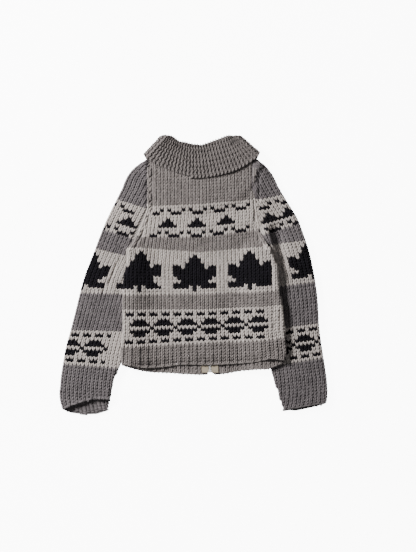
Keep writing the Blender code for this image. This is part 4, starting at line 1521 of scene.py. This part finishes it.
def build_core(side):
    """The corded edge of a tape, which the teeth are pressed onto. Its finish is painted far darker
    than the tape: painted shade of the narrow gaps on both sides of the teeth.
    """
    sign = -1 if side == "left" else 1
    y = np.linspace(TAPE_BOTTOM_Y, TEETH_TOP_Y, 70)[:, None]
    across = np.linspace(*CORD_EDGES, 5)[None, :] * sign
    hump = CORD_HUMP * np.sin(np.linspace(0, math.pi, 5))[None, :]
    x = zip_x(y) + across
    z = zip_heights(y) + hump - CORD_BELOW + 0 * x
    points = np.stack([x, y + 0 * x, z], axis=-1)
    outward = np.zeros_like(points)
    outward[..., 2] = 1.0
    return ground_wall("zip_core_" + side, points, outward, points[..., :2] / MM, [ZIP_CORD_PAINTED_SHADE],
                       lambda column, row: 0, wall=CORD_WALL)


def finish_zip():
    """The zip's own pieces, and finishes for those that keep their shape."""
    for side in ("left", "right"):
        core = build_core(side)
        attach(core, "cardigan")
        teeth = build_teeth(side)
        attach(teeth, "cardigan")
        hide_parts("zip_teeth_" + side)
        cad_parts["zip_tape_" + side].material_slots[0].material = ZIP_TAPE
    for node in ("zip_box", "slider", "pull_tab"):
        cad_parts[node].material_slots[0].material = ZIP_METAL


# Camera and light


def look_at_origin(item, place):
    direction = Vector((0.0, 0.0, 0.0)) - Vector(place)
    item.matrix_world = Matrix.Translation(Vector(place)) @ direction.to_track_quat(
        "-Z", "Y").to_matrix().to_4x4()


LENS = 85
SENSOR_HEIGHT = 36
# What the photograph's frame takes in: its middle, its height in metres, and the level above the
# floor at which that height is measured
FRAME_CENTRE = (0.0341, -0.0054)
FRAME_HEIGHT = 1.2972
FRAME_LEVEL = 0.014


def add_camera():
    """Straight above the garment, as in the photograph."""
    data = bpy.data.cameras.new("camera")
    data.lens = LENS
    data.sensor_height = SENSOR_HEIGHT
    data.sensor_fit = "VERTICAL"
    camera = bpy.data.objects.new("camera", data)
    bpy.context.scene.collection.objects.link(camera)
    distance = FRAME_HEIGHT * data.lens / data.sensor_height
    camera.location = (*FRAME_CENTRE, distance + FRAME_LEVEL)
    bpy.context.scene.camera = camera


def add_area_light(name, place, size, power, colour):
    data = bpy.data.lights.new(name, "AREA")
    data.shape = "DISK"
    data.size = size
    data.energy = power
    data.color = colour
    light = bpy.data.objects.new(name, data)
    bpy.context.scene.collection.objects.link(light)
    look_at_origin(light, place)


def bright_to_the_camera(tree, shader_socket, seen, plain):
    """Light that the camera sees at one strength and everything else gets at another, so that
    the studio looks white but hardly lights the garment."""
    path = tree.nodes.new("ShaderNodeLightPath")
    seen_share = Socket(tree, path.outputs["Is Camera Ray"])
    strength = seen_share * (seen - plain) + plain
    tree.links.new(strength.output, shader_socket)


def add_studio():
    builder = bmesh.new()
    bmesh.ops.create_grid(builder, x_segments=1, y_segments=1, size=6)
    finish = Finish("studio_floor")
    material = finish.set(Base_Color=(0.8, 0.8, 0.8, 1.0), Roughness=0.8,
                          Emission_Color=(1, 1, 1, 1))
    bright_to_the_camera(finish.tree, finish.shader.inputs["Emission Strength"],
                         seen=9.5, plain=0.0)
    floor = add_object("studio_floor", builder, [material], smooth_faces=False)
    world = bpy.data.worlds.new("studio")
    world.use_nodes = True
    background = world.node_tree.nodes["Background"]
    background.inputs["Color"].default_value = (1, 1, 1, 1)
    bright_to_the_camera(world.node_tree, background.inputs["Strength"],
                         seen=12.0, plain=0.12)
    bpy.context.scene.world = world
    add_area_light("key", (-2.45, 1.5, 1.78), size=1.0, power=296, colour=(1.0, 0.985, 0.97))
    add_area_light("fill", (0.6, -0.8, 3.0), size=1.6, power=6, colour=(0.97, 0.98, 1.0))


def finish_cloth(pieces):
    for node, (ground, loops) in pieces.items():
        for piece in [ground] + loops:
            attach(piece, "cardigan")
        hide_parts(node)
        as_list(loops)


add_camera()
add_studio()
cloth = build_body()
cloth.update(build_sleeves())
cloth["collar_left"] = build_collar("left", COLLAR_LEFT_ROWS)
cloth["collar_right"] = build_collar("right", COLLAR_RIGHT_ROWS)
armholes = build_armholes()
cloth["sleeve_left"][1].append(armholes["left"])
cloth["sleeve_right"][1].append(armholes["right"])
finish_cloth(cloth)
finish_zip()
